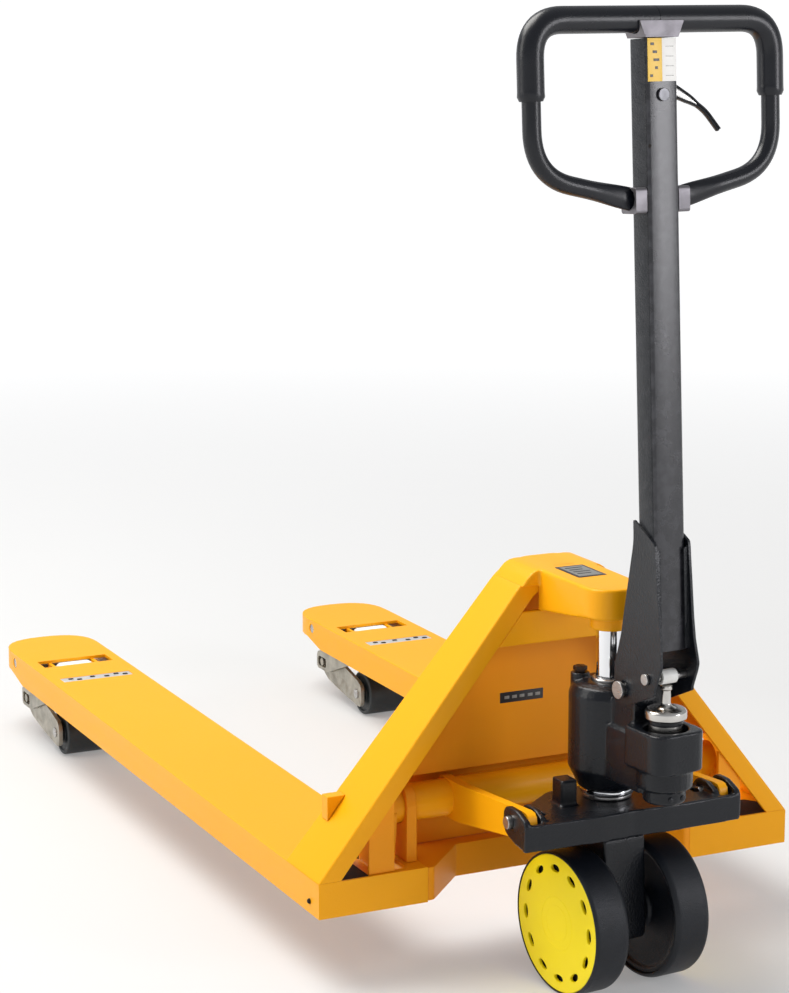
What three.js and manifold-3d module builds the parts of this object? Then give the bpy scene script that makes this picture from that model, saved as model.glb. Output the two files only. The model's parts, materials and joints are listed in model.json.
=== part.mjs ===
// Hand pallet truck: two forks on load rollers, an A-shaped frame over a hydraulic jack,
// two steer wheels and a tiller that pumps, steers and lowers it.
// Millimetres, +Z up, forks towards +Y, the operator on the -Y side.
// The truck is drawn part-way through its lift, with the tiller turned a few degrees.

import * as THREE from 'three';
import { mergeVertices } from 'three/addons/utils/BufferGeometryUtils.js';
import Module from 'manifold-3d';

const wasm = await Module();
wasm.setup();

// ---------------------------------------------------------------- driving dimensions
const GAP = 0.3;                 // clearance between pieces that touch
const RUNNING = 0.4;             // radial clearance of a shaft in its bore

const TRUCK_WIDTH = 685;
const FORK_WIDTH = 150;
const FORK_TOP = 137.5;
const FORK_DEPTH = 46;
const FORK_WALL = 5;
const FORK_NOSE_DEPTH = 33;
const NOSE_LENGTH = 70;
const NOSE_TAPER = 60;            // the skirt deepens from the nose to its full depth over this length
const HEEL_Y = 110;
const TIP_Y = 1434;
const TIP_RADIUS = 74;

const BAND_SLOPE = 51.5;         // degrees from the floor
const BAND_PLATE = 6;
const BAND_FLANGE = 24;
const BAND_TOP_Z = 486;
const BAND_DEPTH = 100;          // along Y at the fork
const BAND_DEPTH_TOP = 66;       // along Y at the head
const HEAD_TOP = 507;
const HEAD_HALF_WIDTH = 37;
const PANEL_Y = 172;
const PANEL_PLATE = 4;
const PANEL_BOTTOM = 238;

const BUMPER_BOTTOM = 93;
const BUMPER_HEIGHT = 44;
const RECESS_Y = 176;            // the bumper steps back to here behind the wheels

const RAM_RADIUS = 16;
const RAM_BOTTOM = 262;
const SPINDLE_RADIUS = 25;
const YOKE_BOTTOM = 205;
const YOKE_TOP = 238;
const YOKE_PIN_Y = -30;
const YOKE_PIN_Z = 233;
const CLEVIS_FRONT = -70;
const YOKE_PIN_RADIUS = 8;
const ARM_OUTER_X = 141;
const ARM_WALL = 12;
const EAR_WALL = 8;

const SHAFT_Y = 165;
const SHAFT_Z = 207;
const SHAFT_RADIUS = 24;
const SHAFT_END = 252;
const BEARING_X = 196;
const BEARING_WIDTH = 14;
const LEVER_X = 238;             // middle of each lever pair and of the push rod between them
const SHAFT_LEVER = 88;          // from the shaft's axis down to the push rod's pin

const STEER_TURN = 4.4;          // degrees, anticlockwise from above
const WHEEL_RADIUS = 90;
const WHEEL_WIDTH = 50;
const HUB_RADIUS = 83;
const WHEEL_GAP = 68;
const WHEEL_TRAIL = 16;
const AXLE_RADIUS = 10;

const PUMP_TOP = 387;
const PUMP_BOTTOM = 252;
const RESERVOIR_RADIUS = 49;
const CYLINDER_Y = -120;
const CYLINDER_TOP = 355;
const BARREL_RADIUS = 26;
const BARREL_BOTTOM = 264;
const WELL_RADIUS = 27;
const PLUNGER_RADIUS = 8;
const PLUNGER_LOW = 308;
const SKIRT_LOW = 341;           // the cap's skirt hides the spring
const LUG_HALF = 25;
const GUIDE_RADIUS = 13;
const WELL_FLOOR = 288;
const GUIDE_TOP = 317;           // the plunger's guide stands up in the middle of the well

const TILLER_PIVOT_Y = -70;
const TILLER_PIVOT_Z = 394;
const TILLER_PIN_RADIUS = 8;
const PRESS_ROLLER_Y = -120;
const PRESS_ROLLER_Z = 418;
const PRESS_ROLLER_RADIUS = 9;
const TILLER_LEAN = 3.66;        // degrees towards the forks
const TILLER_BASE_Y = -114;      // the tube's centre line at TILLER_BASE_Z
const TILLER_BASE_Z = 430;
const TUBE_WIDTH = 44;
const TUBE_DEPTH = 34;
const TUBE_LOW = 20;
const LOOP_WIDTH = 369;          // outside
const LOOP_TUBE = 11;            // radius of the bare handle tube
const GRIP_RADIUS = 16;
const HANDLE_TOP = 1201;
const UPPER_BEND = 48;           // where the loop's corners start to bend, from the corner
const LOWER_BEND = 52;
const GRIP_DROP = 90;
const CLAMP_LENGTH = 16;
const LEVER_DROP = 86;           // the release lever's pivot, below the top bar's centre line
const CRANK = 11;                // from the lever's pivot to the control rod

const LOAD_ROLLER_RADIUS = 37;
const LOAD_ROLLER_LENGTH = 88;
const LOAD_ROLLER_Y = 1205;
const BRACKET_PIVOT_Y = 1345;
const BRACKET_PIVOT_Z = 121;
const ROD_PIN_Y = 1329;
const ROD_PIN_Z = 64;
const CROSSHEAD_Y = 1128;
const CROSSHEAD_Z = 110;
const ENTRY_ROLLER_Y = 1259;
const ENTRY_ROLLER_Z = 110;

const SIDES = { left: -1, right: 1 };
const FORK_X = (TRUCK_WIDTH - FORK_WIDTH) / 2;
const radians = THREE.MathUtils.degToRad;

// ---------------------------------------------------------------- materials
const finish = (color, roughness, metalness) =>
  new THREE.MeshStandardMaterial({ color, roughness, metalness });

const PAINT = {
  yellow: () => finish(0xf5b514, 0.42, 0.05),
  black: () => finish(0x15181c, 0.45, 0.2),
  chrome: () => finish(0xd8dadd, 0.12, 1),
  steel: () => finish(0x9a9ca0, 0.4, 0.9),
  zinc: () => finish(0xb9b4a6, 0.45, 0.8),
  hub: () => finish(0xf3dc1e, 0.4, 0),
  rubber: () => finish(0x1a1c20, 0.65, 0),
  grip: () => finish(0x101113, 0.55, 0),
  nylon: () => finish(0xf2f2ee, 0.5, 0),
  alloy: () => finish(0xb4b0bc, 0.35, 0.6),
};

// ---------------------------------------------------------------- shape helpers
// Each helper returns a manifold solid, so that pieces can be cut and joined.
const solid = (geometry) => {
  const bare = geometry.index ? geometry.toNonIndexed() : geometry.clone();
  bare.deleteAttribute('normal');
  bare.deleteAttribute('uv');
  const merged = mergeVertices(bare, 1e-4);
  return new wasm.Manifold(new wasm.Mesh({
    numProp: 3,
    vertProperties: new Float32Array(merged.attributes.position.array),
    triVerts: new Uint32Array(merged.index.array),
  }));
};

const joined = (first, ...others) => others.reduce((sum, other) => sum.add(other), first);
const cut = (first, ...tools) => tools.reduce((rest, tool) => rest.subtract(tool), first);

// A shape through the points, each corner rounded by the radius that is its third number,
// or by what its shorter edge leaves room for.
const outline = (points) => {
  const shape = new THREE.Shape();
  points.forEach(([a, b, wanted = 0], i) => {
    const corner = new THREE.Vector2(a, b);
    const before = new THREE.Vector2(...points.at(i - 1)).sub(corner);
    const after = new THREE.Vector2(...points[(i + 1) % points.length]).sub(corner);
    const radius = Math.min(wanted, 0.48 * before.length(), 0.48 * after.length());
    const start = corner.clone().add(before.setLength(radius));
    const end = corner.clone().add(after.setLength(radius));
    if (i === 0) shape.moveTo(start.x, start.y);
    else shape.lineTo(start.x, start.y);
    if (radius) shape.quadraticCurveTo(corner.x, corner.y, end.x, end.y);
  });
  shape.closePath();
  return shape;
};

const rotateTo = {
  x: new THREE.Matrix4().set(0, 0, 1, 0, 1, 0, 0, 0, 0, 1, 0, 0, 0, 0, 0, 1),
  y: new THREE.Matrix4().set(1, 0, 0, 0, 0, 0, -1, 0, 0, 1, 0, 0, 0, 0, 0, 1),
  z: new THREE.Matrix4(),
};

// A plate: the outline lies in the two axes other than the named one, and reaches from low to high.
const plate = (axis, shape, low, high, segments = 3) => {
  const geometry = new THREE.ExtrudeGeometry(shape, {
    depth: high - low, bevelEnabled: false, curveSegments: segments,
  });
  geometry.applyMatrix4(rotateTo[axis]);
  const shift = new THREE.Vector3();
  shift[axis] = axis === 'y' ? high : low;
  geometry.translate(shift.x, shift.y, shift.z);
  return solid(geometry);
};

const block = (x0, x1, y0, y1, z0, z1) => {
  const geometry = new THREE.BoxGeometry(x1 - x0, y1 - y0, z1 - z0);
  geometry.translate((x0 + x1) / 2, (y0 + y1) / 2, (z0 + z1) / 2);
  return solid(geometry);
};

// A turned piece: the profile is [radius, height] points, and height runs along the axis from the centre.
const turned = (axis, profile, centre, segments = 24) => {
  const points = profile.map(([radius, height]) => new THREE.Vector2(radius, height));
  const rising = THREE.ShapeUtils.area(points) > 0 ? points : points.reverse();
  const closed = rising.every((point) => point.x > 0) ? [...rising, rising[0]] : rising;
  const geometry = new THREE.LatheGeometry(closed, segments);
  if (axis === 'z') geometry.rotateX(Math.PI / 2);
  if (axis === 'x') geometry.rotateZ(-Math.PI / 2);
  geometry.translate(...centre);
  return solid(geometry);
};

const rod = (axis, radius, low, high, centre, segments = 16) =>
  turned(axis, [[0, low], [radius, low], [radius, high], [0, high]], centre, segments);

const ring = (axis, inner, outer, low, high, centre, segments = 24) =>
  turned(axis, [[inner, low], [outer, low], [outer, high], [inner, high]], centre, segments);

const along = (curve, shape, steps, segments = 5) => solid(new THREE.ExtrudeGeometry(shape, {
  extrudePath: curve, steps, bevelEnabled: false, curveSegments: segments,
}));

const disc = (radius) => new THREE.Shape().absarc(0, 0, radius, 0, 2 * Math.PI);

const mesh = (name, piece, material) => {
  const { vertProperties, triVerts, numProp } = piece.getMesh();
  const positions = new Float32Array(triVerts.length * 3);
  triVerts.forEach((vertex, i) => {
    for (let k = 0; k < 3; k += 1) positions[3 * i + k] = vertProperties[vertex * numProp + k];
  });
  const geometry = new THREE.BufferGeometry();
  geometry.setAttribute('position', new THREE.BufferAttribute(positions, 3));
  geometry.computeVertexNormals();
  const made = new THREE.Mesh(geometry, material);
  made.name = name;
  return made;
};

// ---------------------------------------------------------------- frame and forks
const forkPlan = (centreX, inset) => {
  const half = FORK_WIDTH / 2 - inset;
  const tip = TIP_Y - inset;
  const radius = TIP_RADIUS - inset;
  return outline([
    [centreX - half, HEEL_Y + (inset ? 8 : 0)],
    [centreX + half, HEEL_Y + (inset ? 8 : 0)],
    [centreX + half, tip, radius],
    [centreX - half, tip, radius],
  ]);
};

// An inverted channel with a shallower nose, open below, with two windows over the roller gear.
const fork = (side) => {
  const x = side * FORK_X;
  const bottom = FORK_TOP - FORK_DEPTH;
  const shell = plate('z', forkPlan(x, 0), bottom, FORK_TOP, 8);
  const hollow = plate('z', forkPlan(x, FORK_WALL), bottom - 1, FORK_TOP - FORK_WALL, 8);
  const noseCut = plate('x', outline([
    [TIP_Y - NOSE_LENGTH - NOSE_TAPER, bottom - 1],
    [TIP_Y + 1, bottom - 1],
    [TIP_Y + 1, FORK_TOP - FORK_NOSE_DEPTH],
    [TIP_Y - NOSE_LENGTH, FORK_TOP - FORK_NOSE_DEPTH],
  ]), x - 90, x + 90);
  const leverX = side * LEVER_X;
  const leverSlot = block(leverX - 21, leverX + 21, SHAFT_Y - 44, SHAFT_Y + 44, FORK_TOP - 10, FORK_TOP + 1);
  const window = (y0, y1) => block(x - 58, x + 58, y0, y1, FORK_TOP - 10, FORK_TOP + 1);
  const entryWindow = window(ENTRY_ROLLER_Y - 22, ENTRY_ROLLER_Y + 18);
  const rodWindow = window(CROSSHEAD_Y + 11, CROSSHEAD_Y + 35);
  const channel = cut(shell, hollow, noseCut, leverSlot, entryWindow, rodWindow);
  const pivotHole = rod('x', 8 + RUNNING, -80, 80, [x, BRACKET_PIVOT_Y, BRACKET_PIVOT_Z]);
  const hanger = (offset) => plate('x', outline([
    [ENTRY_ROLLER_Y - 30, FORK_TOP - FORK_WALL],
    [ENTRY_ROLLER_Y - 12, 98, 4],
    [ENTRY_ROLLER_Y + 12, 98, 4],
    [ENTRY_ROLLER_Y + 26, FORK_TOP - FORK_WALL],
  ]), x + offset - 2.5, x + offset + 2.5);
  const hangerHole = rod('x', 5 + RUNNING, -50, 50, [x, ENTRY_ROLLER_Y, ENTRY_ROLLER_Z], 16);
  return cut(joined(channel, hanger(-36), hanger(36)), pivotHole, hangerHole);
};

const bandDirection = new THREE.Vector2(Math.cos(radians(BAND_SLOPE)), Math.sin(radians(BAND_SLOPE)));
const bandFoot = new THREE.Vector2(-TRUCK_WIDTH / 2, FORK_TOP + GAP);

// The sloping strip of the left band, seen from the operator, from one depth under its face to another.
const bandStrip = (side, from, to, topZ) => {
  const inward = new THREE.Vector2(bandDirection.y, -bandDirection.x);
  const crossing = (depth, z) => {
    const start = bandFoot.clone().addScaledVector(inward, depth);
    return start.x + (z - start.y) * (bandDirection.x / bandDirection.y);
  };
  return outline([
    [-side * crossing(from, bandFoot.y), bandFoot.y],
    [-side * crossing(from, topZ), topZ],
    [-side * crossing(to, topZ), topZ],
    [-side * crossing(to, bandFoot.y), bandFoot.y],
  ]);
};

// The rear face of the frame leans forwards, so the bands get narrower towards the head.
const rearTrim = () => plate('x', outline([
  [HEEL_Y + BAND_DEPTH, FORK_TOP],
  [HEEL_Y + BAND_DEPTH + 200, FORK_TOP],
  [HEEL_Y + BAND_DEPTH + 200, HEAD_TOP + 1],
  [HEEL_Y + BAND_DEPTH_TOP, HEAD_TOP + 1],
]), -400, 400);

const sideBand = (side) => {
  const back = HEEL_Y + BAND_DEPTH;
  const face = plate('y', bandStrip(side, 0, BAND_PLATE, BAND_TOP_Z), HEEL_Y, back);
  const frontFlange = plate('y', bandStrip(side, 0, BAND_FLANGE, BAND_TOP_Z), HEEL_Y, HEEL_Y + BAND_PLATE);
  return cut(joined(face, frontFlange), rearTrim());
};

// The recessed back panel fills the space between the bands, and steps back over the shaft.
const backPanel = () => {
  const inset = BAND_PLATE + GAP;
  const edge = (z) => TRUCK_WIDTH / 2 - inset / bandDirection.y
    - (z - bandFoot.y) * (bandDirection.x / bandDirection.y);
  const face = plate('y', outline([
    [-edge(PANEL_BOTTOM), PANEL_BOTTOM],
    [edge(PANEL_BOTTOM), PANEL_BOTTOM],
    [edge(BAND_TOP_Z), BAND_TOP_Z],
    [-edge(BAND_TOP_Z), BAND_TOP_Z],
  ]), PANEL_Y, PANEL_Y + PANEL_PLATE);
  const half = TRUCK_WIDTH / 2 - FORK_WIDTH - 0.5;
  const apronY = 202;
  const shelfTop = BUMPER_BOTTOM + BUMPER_HEIGHT + GAP;
  const ledge = block(-half, half, PANEL_Y, apronY, PANEL_BOTTOM, PANEL_BOTTOM + PANEL_PLATE);
  const apron = block(-half, half, apronY - PANEL_PLATE, apronY, shelfTop, PANEL_BOTTOM + PANEL_PLATE);
  return joined(face, ledge, apron);
};

const yokePlate = () => {
  const inset = BAND_FLANGE + GAP;
  const edge = (z) => TRUCK_WIDTH / 2 - inset / bandDirection.y
    - (z - bandFoot.y) * (bandDirection.x / bandDirection.y);
  const bottom = 410;
  return plate('y', outline([
    [-edge(bottom), bottom],
    [edge(bottom), bottom],
    [edge(453), 453],
    [-edge(453), 453],
  ]), HEEL_Y, HEEL_Y + 8);
};

// The head joins both bands and reaches forwards over the jack. It is a thick plate with side cheeks.
const head = () => {
  const capLow = BAND_TOP_Z + GAP;
  const rear = HEEL_Y + BAND_DEPTH_TOP + 4;
  const spread = (z) => TRUCK_WIDTH / 2 - (z - bandFoot.y) * (bandDirection.x / bandDirection.y);
  const cap = plate('y', outline([
    [-spread(capLow), capLow],
    [spread(capLow), capLow],
    [spread(HEAD_TOP), HEAD_TOP, 14],
    [-spread(HEAD_TOP), HEAD_TOP, 14],
  ]), HEEL_Y - 6, rear);
  const nose = plate('z', outline([
    [-HEAD_HALF_WIDTH - 3, HEEL_Y - GAP],
    [-HEAD_HALF_WIDTH, -HEAD_HALF_WIDTH, HEAD_HALF_WIDTH],
    [HEAD_HALF_WIDTH, -HEAD_HALF_WIDTH, HEAD_HALF_WIDTH],
    [HEAD_HALF_WIDTH + 3, HEEL_Y - GAP],
  ]), 453.3, HEAD_TOP, 8);
  const underCut = plate('x', outline([
    [-60, 440], [HEEL_Y - 2, 440], [HEEL_Y - 2, 453], [-10, 468], [-60, 468],
  ]), -80, 80);
  const pocket = block(-29, 29, 34, HEEL_Y - 8, 440, 498);
  const boss = rod('z', 24, 451, 470, [0, 0, 0]);
  const socket = rod('z', RAM_RADIUS + GAP, 440, 496, [0, 0, 0], 32);
  const body = cut(nose, underCut, pocket);
  return cut(joined(body, cap, boss), socket);
};

// The cross beam at the heel steps back in the middle to clear the steer wheels.
const bumper = () => {
  const half = TRUCK_WIDTH / 2 - FORK_WIDTH - GAP;
  const wall = 6;
  const path = (offset) => [
    [-half, HEEL_Y + offset],
    [-184 + offset * 0.4, HEEL_Y + offset],
    [-120 + offset * 0.4, RECESS_Y + offset],
    [120 - offset * 0.4, RECESS_Y + offset],
    [184 - offset * 0.4, HEEL_Y + offset],
    [half, HEEL_Y + offset],
  ];
  const wallPlan = outline([...path(0), ...path(wall).reverse()]);
  const shelfPlan = outline([...path(wall), [half, RECESS_Y + 34], [-half, RECESS_Y + 34]]);
  const web = plate('z', wallPlan, BUMPER_BOTTOM, BUMPER_BOTTOM + BUMPER_HEIGHT);
  const shelf = plate('z', shelfPlan, BUMPER_BOTTOM + BUMPER_HEIGHT - 5, BUMPER_BOTTOM + BUMPER_HEIGHT);
  return joined(web, shelf);
};

const gusset = (side) => {
  const x0 = 237;
  const x1 = 272;
  const low = FORK_TOP + GAP;
  const underBand = (x) => bandFoot.y + (TRUCK_WIDTH / 2 - x) * (bandDirection.y / bandDirection.x)
    - (BAND_FLANGE + GAP) / bandDirection.x;
  const face = plate('y', outline([
    [side * x0, low],
    [side * x1, low],
    [side * x1, underBand(x1)],
    [side * x0, underBand(x0)],
  ]), HEEL_Y + 4, HEEL_Y + 10);
  return face;
};

// The height at which a plane across the truck at x meets the band's face.
const onBandZ = (x) => bandFoot.y + (TRUCK_WIDTH / 2 - x + 1) * (bandDirection.y / bandDirection.x);

// A wedge on each band keeps the pallet off the frame.
const palletStop = (side) => {
  const x = 300;
  const onBand = (z) => TRUCK_WIDTH / 2 - (z - bandFoot.y) * (bandDirection.x / bandDirection.y) + 1;
  const wedge = plate('y', outline([
    [side * x, onBandZ(x)],
    [side * x, 224],
    [side * (onBand(224)), 224],
  ]), 178, 196);
  return wedge;
};

// ---------------------------------------------------------------- lift linkage
const shaftBearing = (side) => {
  const x0 = Math.min(side * BEARING_X, side * (BEARING_X + BEARING_WIDTH));
  const cheek = plate('x', outline([
    [SHAFT_Y - 30, FORK_TOP + GAP],
    [SHAFT_Y + 30, FORK_TOP + GAP],
    [SHAFT_Y + 30, SHAFT_Z + 30, 26],
    [SHAFT_Y - 30, SHAFT_Z + 30, 26],
  ]), x0, x0 + BEARING_WIDTH);
  return cut(cheek, rod('x', SHAFT_RADIUS + RUNNING, -300, 300, [0, SHAFT_Y, SHAFT_Z], 24));
};

// The torsion shaft carries two lift arms in front and two levers that reach into the forks.
const torsionShaft = () => {
  const reach = SHAFT_Y - YOKE_PIN_Y;
  const rise = YOKE_PIN_Z - SHAFT_Z;
  const tube = ring('x', SHAFT_RADIUS - 6, SHAFT_RADIUS, -SHAFT_END, SHAFT_END, [0, SHAFT_Y, SHAFT_Z]);
  const arm = (side) => {
    const outer = side * ARM_OUTER_X;
    const inner = side * (ARM_OUTER_X - ARM_WALL);
    const bar = plate('x', outline([
      [SHAFT_Y + 20, SHAFT_Z - 26, 12],
      [SHAFT_Y - 30, SHAFT_Z - 25, 12],
      [SHAFT_Y - reach - 27, SHAFT_Z + rise - 18, 14],
      [SHAFT_Y - reach - 27, SHAFT_Z + rise + 17, 14],
      [SHAFT_Y - 30, SHAFT_Z + 26, 12],
      [SHAFT_Y + 20, SHAFT_Z + 26, 12],
    ]), Math.min(outer, inner), Math.max(outer, inner));
    const slot = plate('x', outline([
      [YOKE_PIN_Y - 22.5, YOKE_PIN_Z - 12.5, 5],
      [YOKE_PIN_Y + 10, YOKE_PIN_Z - 10.5, 5],
      [YOKE_PIN_Y + 10, YOKE_PIN_Z + 11, 5],
      [YOKE_PIN_Y - 22.5, YOKE_PIN_Z + 11, 5],
    ]), Math.min(outer, inner) - 1, Math.max(outer, inner) + 1);
    return cut(bar, slot, rod('x', SHAFT_RADIUS - 3, -300, 300, [0, SHAFT_Y, SHAFT_Z]));
  };
  const lever = (side, offset) => {
    const x = side * LEVER_X + offset;
    const web = plate('x', outline([
      [SHAFT_Y - 26, SHAFT_Z, 10],
      [SHAFT_Y - 13, SHAFT_Z - SHAFT_LEVER - 12, 10],
      [SHAFT_Y + 13, SHAFT_Z - SHAFT_LEVER - 12, 10],
      [SHAFT_Y + 26, SHAFT_Z, 10],
    ]), x - 4, x + 4);
    return cut(web,
      rod('x', SHAFT_RADIUS - 3, -400, 400, [0, SHAFT_Y, SHAFT_Z]),
      rod('x', 7 + RUNNING, -400, 400, [0, SHAFT_Y, SHAFT_Z - SHAFT_LEVER]));
  };
  return joined(tube, arm(-1), arm(1), lever(-1, -13), lever(-1, 13), lever(1, -13), lever(1, 13));
};

// A push rod runs inside each fork, with a pinned eye at the heel and a fork that straddles the roller.
const pushRod = (side) => {
  const x = side * FORK_X;
  const heelZ = SHAFT_Z - SHAFT_LEVER;
  const heelX = side * LEVER_X;
  const eye = rod('x', 13, -8.5, 8.5, [heelX, SHAFT_Y, heelZ]);
  const pin = rod('x', 7, -18.5, 18.5, [heelX, SHAFT_Y, heelZ]);
  const bar = along(
    new THREE.LineCurve3(
      new THREE.Vector3(heelX, SHAFT_Y + 6, heelZ),
      new THREE.Vector3(heelX, CROSSHEAD_Y + 7, CROSSHEAD_Z),
    ),
    disc(8), 1, 4,
  );
  const crosshead = block(x - 62, x + 62, CROSSHEAD_Y, CROSSHEAD_Y + 32, CROSSHEAD_Z - 11, CROSSHEAD_Z + 11);
  const strap = (offset) => plate('x', outline([
    [CROSSHEAD_Y + 22, CROSSHEAD_Z - 11],
    [CROSSHEAD_Y + 22, CROSSHEAD_Z + 11],
    [CROSSHEAD_Y + 52, CROSSHEAD_Z + 11, 10],
    [ROD_PIN_Y + 22, ROD_PIN_Z + 15, 8],
    [ROD_PIN_Y + 22, ROD_PIN_Z - 14, 8],
    [ROD_PIN_Y - 22, ROD_PIN_Z - 14, 8],
    [CROSSHEAD_Y + 52, CROSSHEAD_Z - 11, 10],
  ]), x + offset - 3, x + offset + 3);
  const slot = plate('x', outline([
    [ROD_PIN_Y - 16, ROD_PIN_Z - 8.5, 5],
    [ROD_PIN_Y + 16, ROD_PIN_Z - 8.5, 5],
    [ROD_PIN_Y + 16, ROD_PIN_Z + 8.5, 5],
    [ROD_PIN_Y - 16, ROD_PIN_Z + 8.5, 5],
  ]), x - 80, x + 80);
  return cut(joined(bar, eye, pin, crosshead, strap(-59), strap(59)), slot);
};

// The load roller's bracket: two cheeks, a bush on the fork's pivot pin and a web between them.
const rollerBracket = (side) => {
  const x = side * FORK_X;
  const axleZ = LOAD_ROLLER_RADIUS;
  const cheek = (offset) => {
    const web = plate('x', outline([
      [LOAD_ROLLER_Y - 20, axleZ - 22, 14],
      [LOAD_ROLLER_Y + 60, axleZ - 12, 8],
      [LOAD_ROLLER_Y + 118, axleZ - 2, 8],
      [BRACKET_PIVOT_Y + 4, BRACKET_PIVOT_Z - 70, 10],
      [BRACKET_PIVOT_Y + 11, BRACKET_PIVOT_Z + 9, 9],
      [BRACKET_PIVOT_Y - 11, BRACKET_PIVOT_Z + 9, 9],
      [LOAD_ROLLER_Y + 60, axleZ + 38, 10],
      [LOAD_ROLLER_Y - 20, axleZ + 20, 14],
    ]), x + offset - 3, x + offset + 3);
    return web;
  };
  const bush = rod('x', 11, -52, 52, [x, BRACKET_PIVOT_Y, BRACKET_PIVOT_Z]);
  const tie = block(x - 50, x + 50, BRACKET_PIVOT_Y - 22, BRACKET_PIVOT_Y - 16, 62, BRACKET_PIVOT_Z - 4);
  const pinBoss = rod('x', 6.5, -62.5, 62.5, [x, ROD_PIN_Y, ROD_PIN_Z], 16);
  const whole = joined(cheek(-51), cheek(51), bush, tie, pinBoss);
  return cut(whole,
    rod('x', 8 + RUNNING, -80, 80, [x, BRACKET_PIVOT_Y, BRACKET_PIVOT_Z]),
    rod('x', 8 + GAP, -80, 80, [x, LOAD_ROLLER_Y, axleZ]));
};

// ---------------------------------------------------------------- yoke under the jack
const yoke = () => {
  const wingX = ARM_OUTER_X - ARM_WALL - 3;
  const earX = ARM_OUTER_X + 3;
  const hub = ring('z', SPINDLE_RADIUS + RUNNING, 50, YOKE_BOTTOM, YOKE_TOP, [0, 0, 0], 32);
  const wing = (side) => plate('z', outline([
    [0, CLEVIS_FRONT],
    [side * 45, CLEVIS_FRONT - 3, 6],
    [side * (earX + EAR_WALL), CLEVIS_FRONT, 8],
    [side * (earX + EAR_WALL), CLEVIS_FRONT + 8],
    [side * wingX, CLEVIS_FRONT + 8],
    [side * wingX, YOKE_PIN_Y + 22],
    [side * 60, 44, 10],
    [0, 48],
  ]), YOKE_BOTTOM, YOKE_TOP);
  const ear = (side) => {
    const sheet = plate('x', outline([
      [CLEVIS_FRONT, YOKE_BOTTOM + 2, 6],
      [CLEVIS_FRONT, YOKE_TOP + 4, 8],
      [YOKE_PIN_Y - 12, YOKE_PIN_Z + 19, 8],
      [YOKE_PIN_Y + 18, YOKE_PIN_Z + 17, 12],
      [YOKE_PIN_Y + 18, YOKE_PIN_Z - 16, 12],
      [YOKE_PIN_Y - 16, YOKE_BOTTOM + 2, 8],
    ]), Math.min(side * earX, side * (earX + EAR_WALL)), Math.max(side * earX, side * (earX + EAR_WALL)));
    const inner = plate('x', outline([
      [CLEVIS_FRONT + 9, YOKE_BOTTOM + 4],
      [CLEVIS_FRONT + 9, YOKE_TOP + 4, 4],
      [YOKE_PIN_Y - 12, YOKE_PIN_Z + 17, 8],
      [YOKE_PIN_Y + 12, YOKE_PIN_Z + 17, 8],
      [YOKE_PIN_Y + 22, YOKE_TOP - 1],
      [YOKE_PIN_Y + 22, YOKE_BOTTOM + 4],
    ]), Math.min(side * wingX, side * (wingX - EAR_WALL)), Math.max(side * wingX, side * (wingX - EAR_WALL)));
    return joined(sheet, inner);
  };
  const stopLug = block(-75, -53, -20, 6, YOKE_TOP - 5, 270);
  const whole = joined(hub, wing(-1), wing(1), ear(-1), ear(1), stopLug);
  return cut(whole,
    rod('z', SPINDLE_RADIUS + RUNNING, 150, 300, [0, 0, 0], 32),
    rod('x', YOKE_PIN_RADIUS + GAP, -300, 300, [0, YOKE_PIN_Y, YOKE_PIN_Z])
      .subtract(block(-105, 105, -100, 100, 150, 300)));
};

const yokePin = (side) => {
  const middle = side * (ARM_OUTER_X - ARM_WALL / 2);
  const shank = rod('x', YOKE_PIN_RADIUS, -23, 20, [middle, YOKE_PIN_Y, YOKE_PIN_Z]);
  return shank;
};

// ---------------------------------------------------------------- jack (turns with the tiller)
const pumpBody = () => {
  const top = PUMP_TOP;
  const reservoir = turned('z', [
    [0, PUMP_BOTTOM], [36, PUMP_BOTTOM], [RESERVOIR_RADIUS, PUMP_BOTTOM + 26],
    [RESERVOIR_RADIUS, top - 16], [RESERVOIR_RADIUS - 5, top - 5], [RESERVOIR_RADIUS - 16, top], [0, top],
  ], [0, 0, 0], 32);
  const spindle = rod('z', SPINDLE_RADIUS, 165.5, PUMP_BOTTOM + 1, [0, 0, 0], 28);
  const web = block(-30, 30, -110, -20, 274, CYLINDER_TOP - 12);
  const shoulders = plate('z', outline([
    [-37, CYLINDER_Y - 36, 20], [37, CYLINDER_Y - 36, 20], [37, CYLINDER_Y + 36, 8], [-37, CYLINDER_Y + 36, 8],
  ]), 306, CYLINDER_TOP, 5);
  const barrel = turned('z', [
    [0, BARREL_BOTTOM], [BARREL_RADIUS - 3, BARREL_BOTTOM], [BARREL_RADIUS, BARREL_BOTTOM + 3],
    [BARREL_RADIUS, 280], [34, 284], [34, 309], [0, 309],
  ], [0, CYLINDER_Y, 0]);
  const lug = plate('x', outline([
    [-40, CYLINDER_TOP - 20],
    [-91, CYLINDER_TOP - 20],
    [-91, 416, 18],
    [-46, 416, 18],
  ]), -LUG_HALF, LUG_HALF);
  const bleedBoss = rod('z', 12, top - 14, top + 6, [-24, 27, 0], 20);
  const body = joined(reservoir, spindle, web, shoulders, barrel, lug, bleedBoss);
  return cut(body,
    rod('z', RAM_RADIUS + RUNNING, 203, 420, [0, 0, 0], 32),
    rod('z', RAM_RADIUS + 5, top - 7, 420, [0, 0, 0], 24),
    ring('z', GUIDE_RADIUS, WELL_RADIUS, WELL_FLOOR, 420, [0, CYLINDER_Y, 0], 24),
    rod('z', WELL_RADIUS, GUIDE_TOP, 420, [0, CYLINDER_Y, 0], 24),
    rod('z', PLUNGER_RADIUS + RUNNING, BARREL_BOTTOM + 3.5, 420, [0, CYLINDER_Y, 0]),
    rod('z', 6 + GAP, top - 8, top + 10, [-24, 27, 0], 16),
    rod('x', TILLER_PIN_RADIUS + GAP, -60, 60, [0, TILLER_PIVOT_Y, TILLER_PIVOT_Z]));
};

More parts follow.
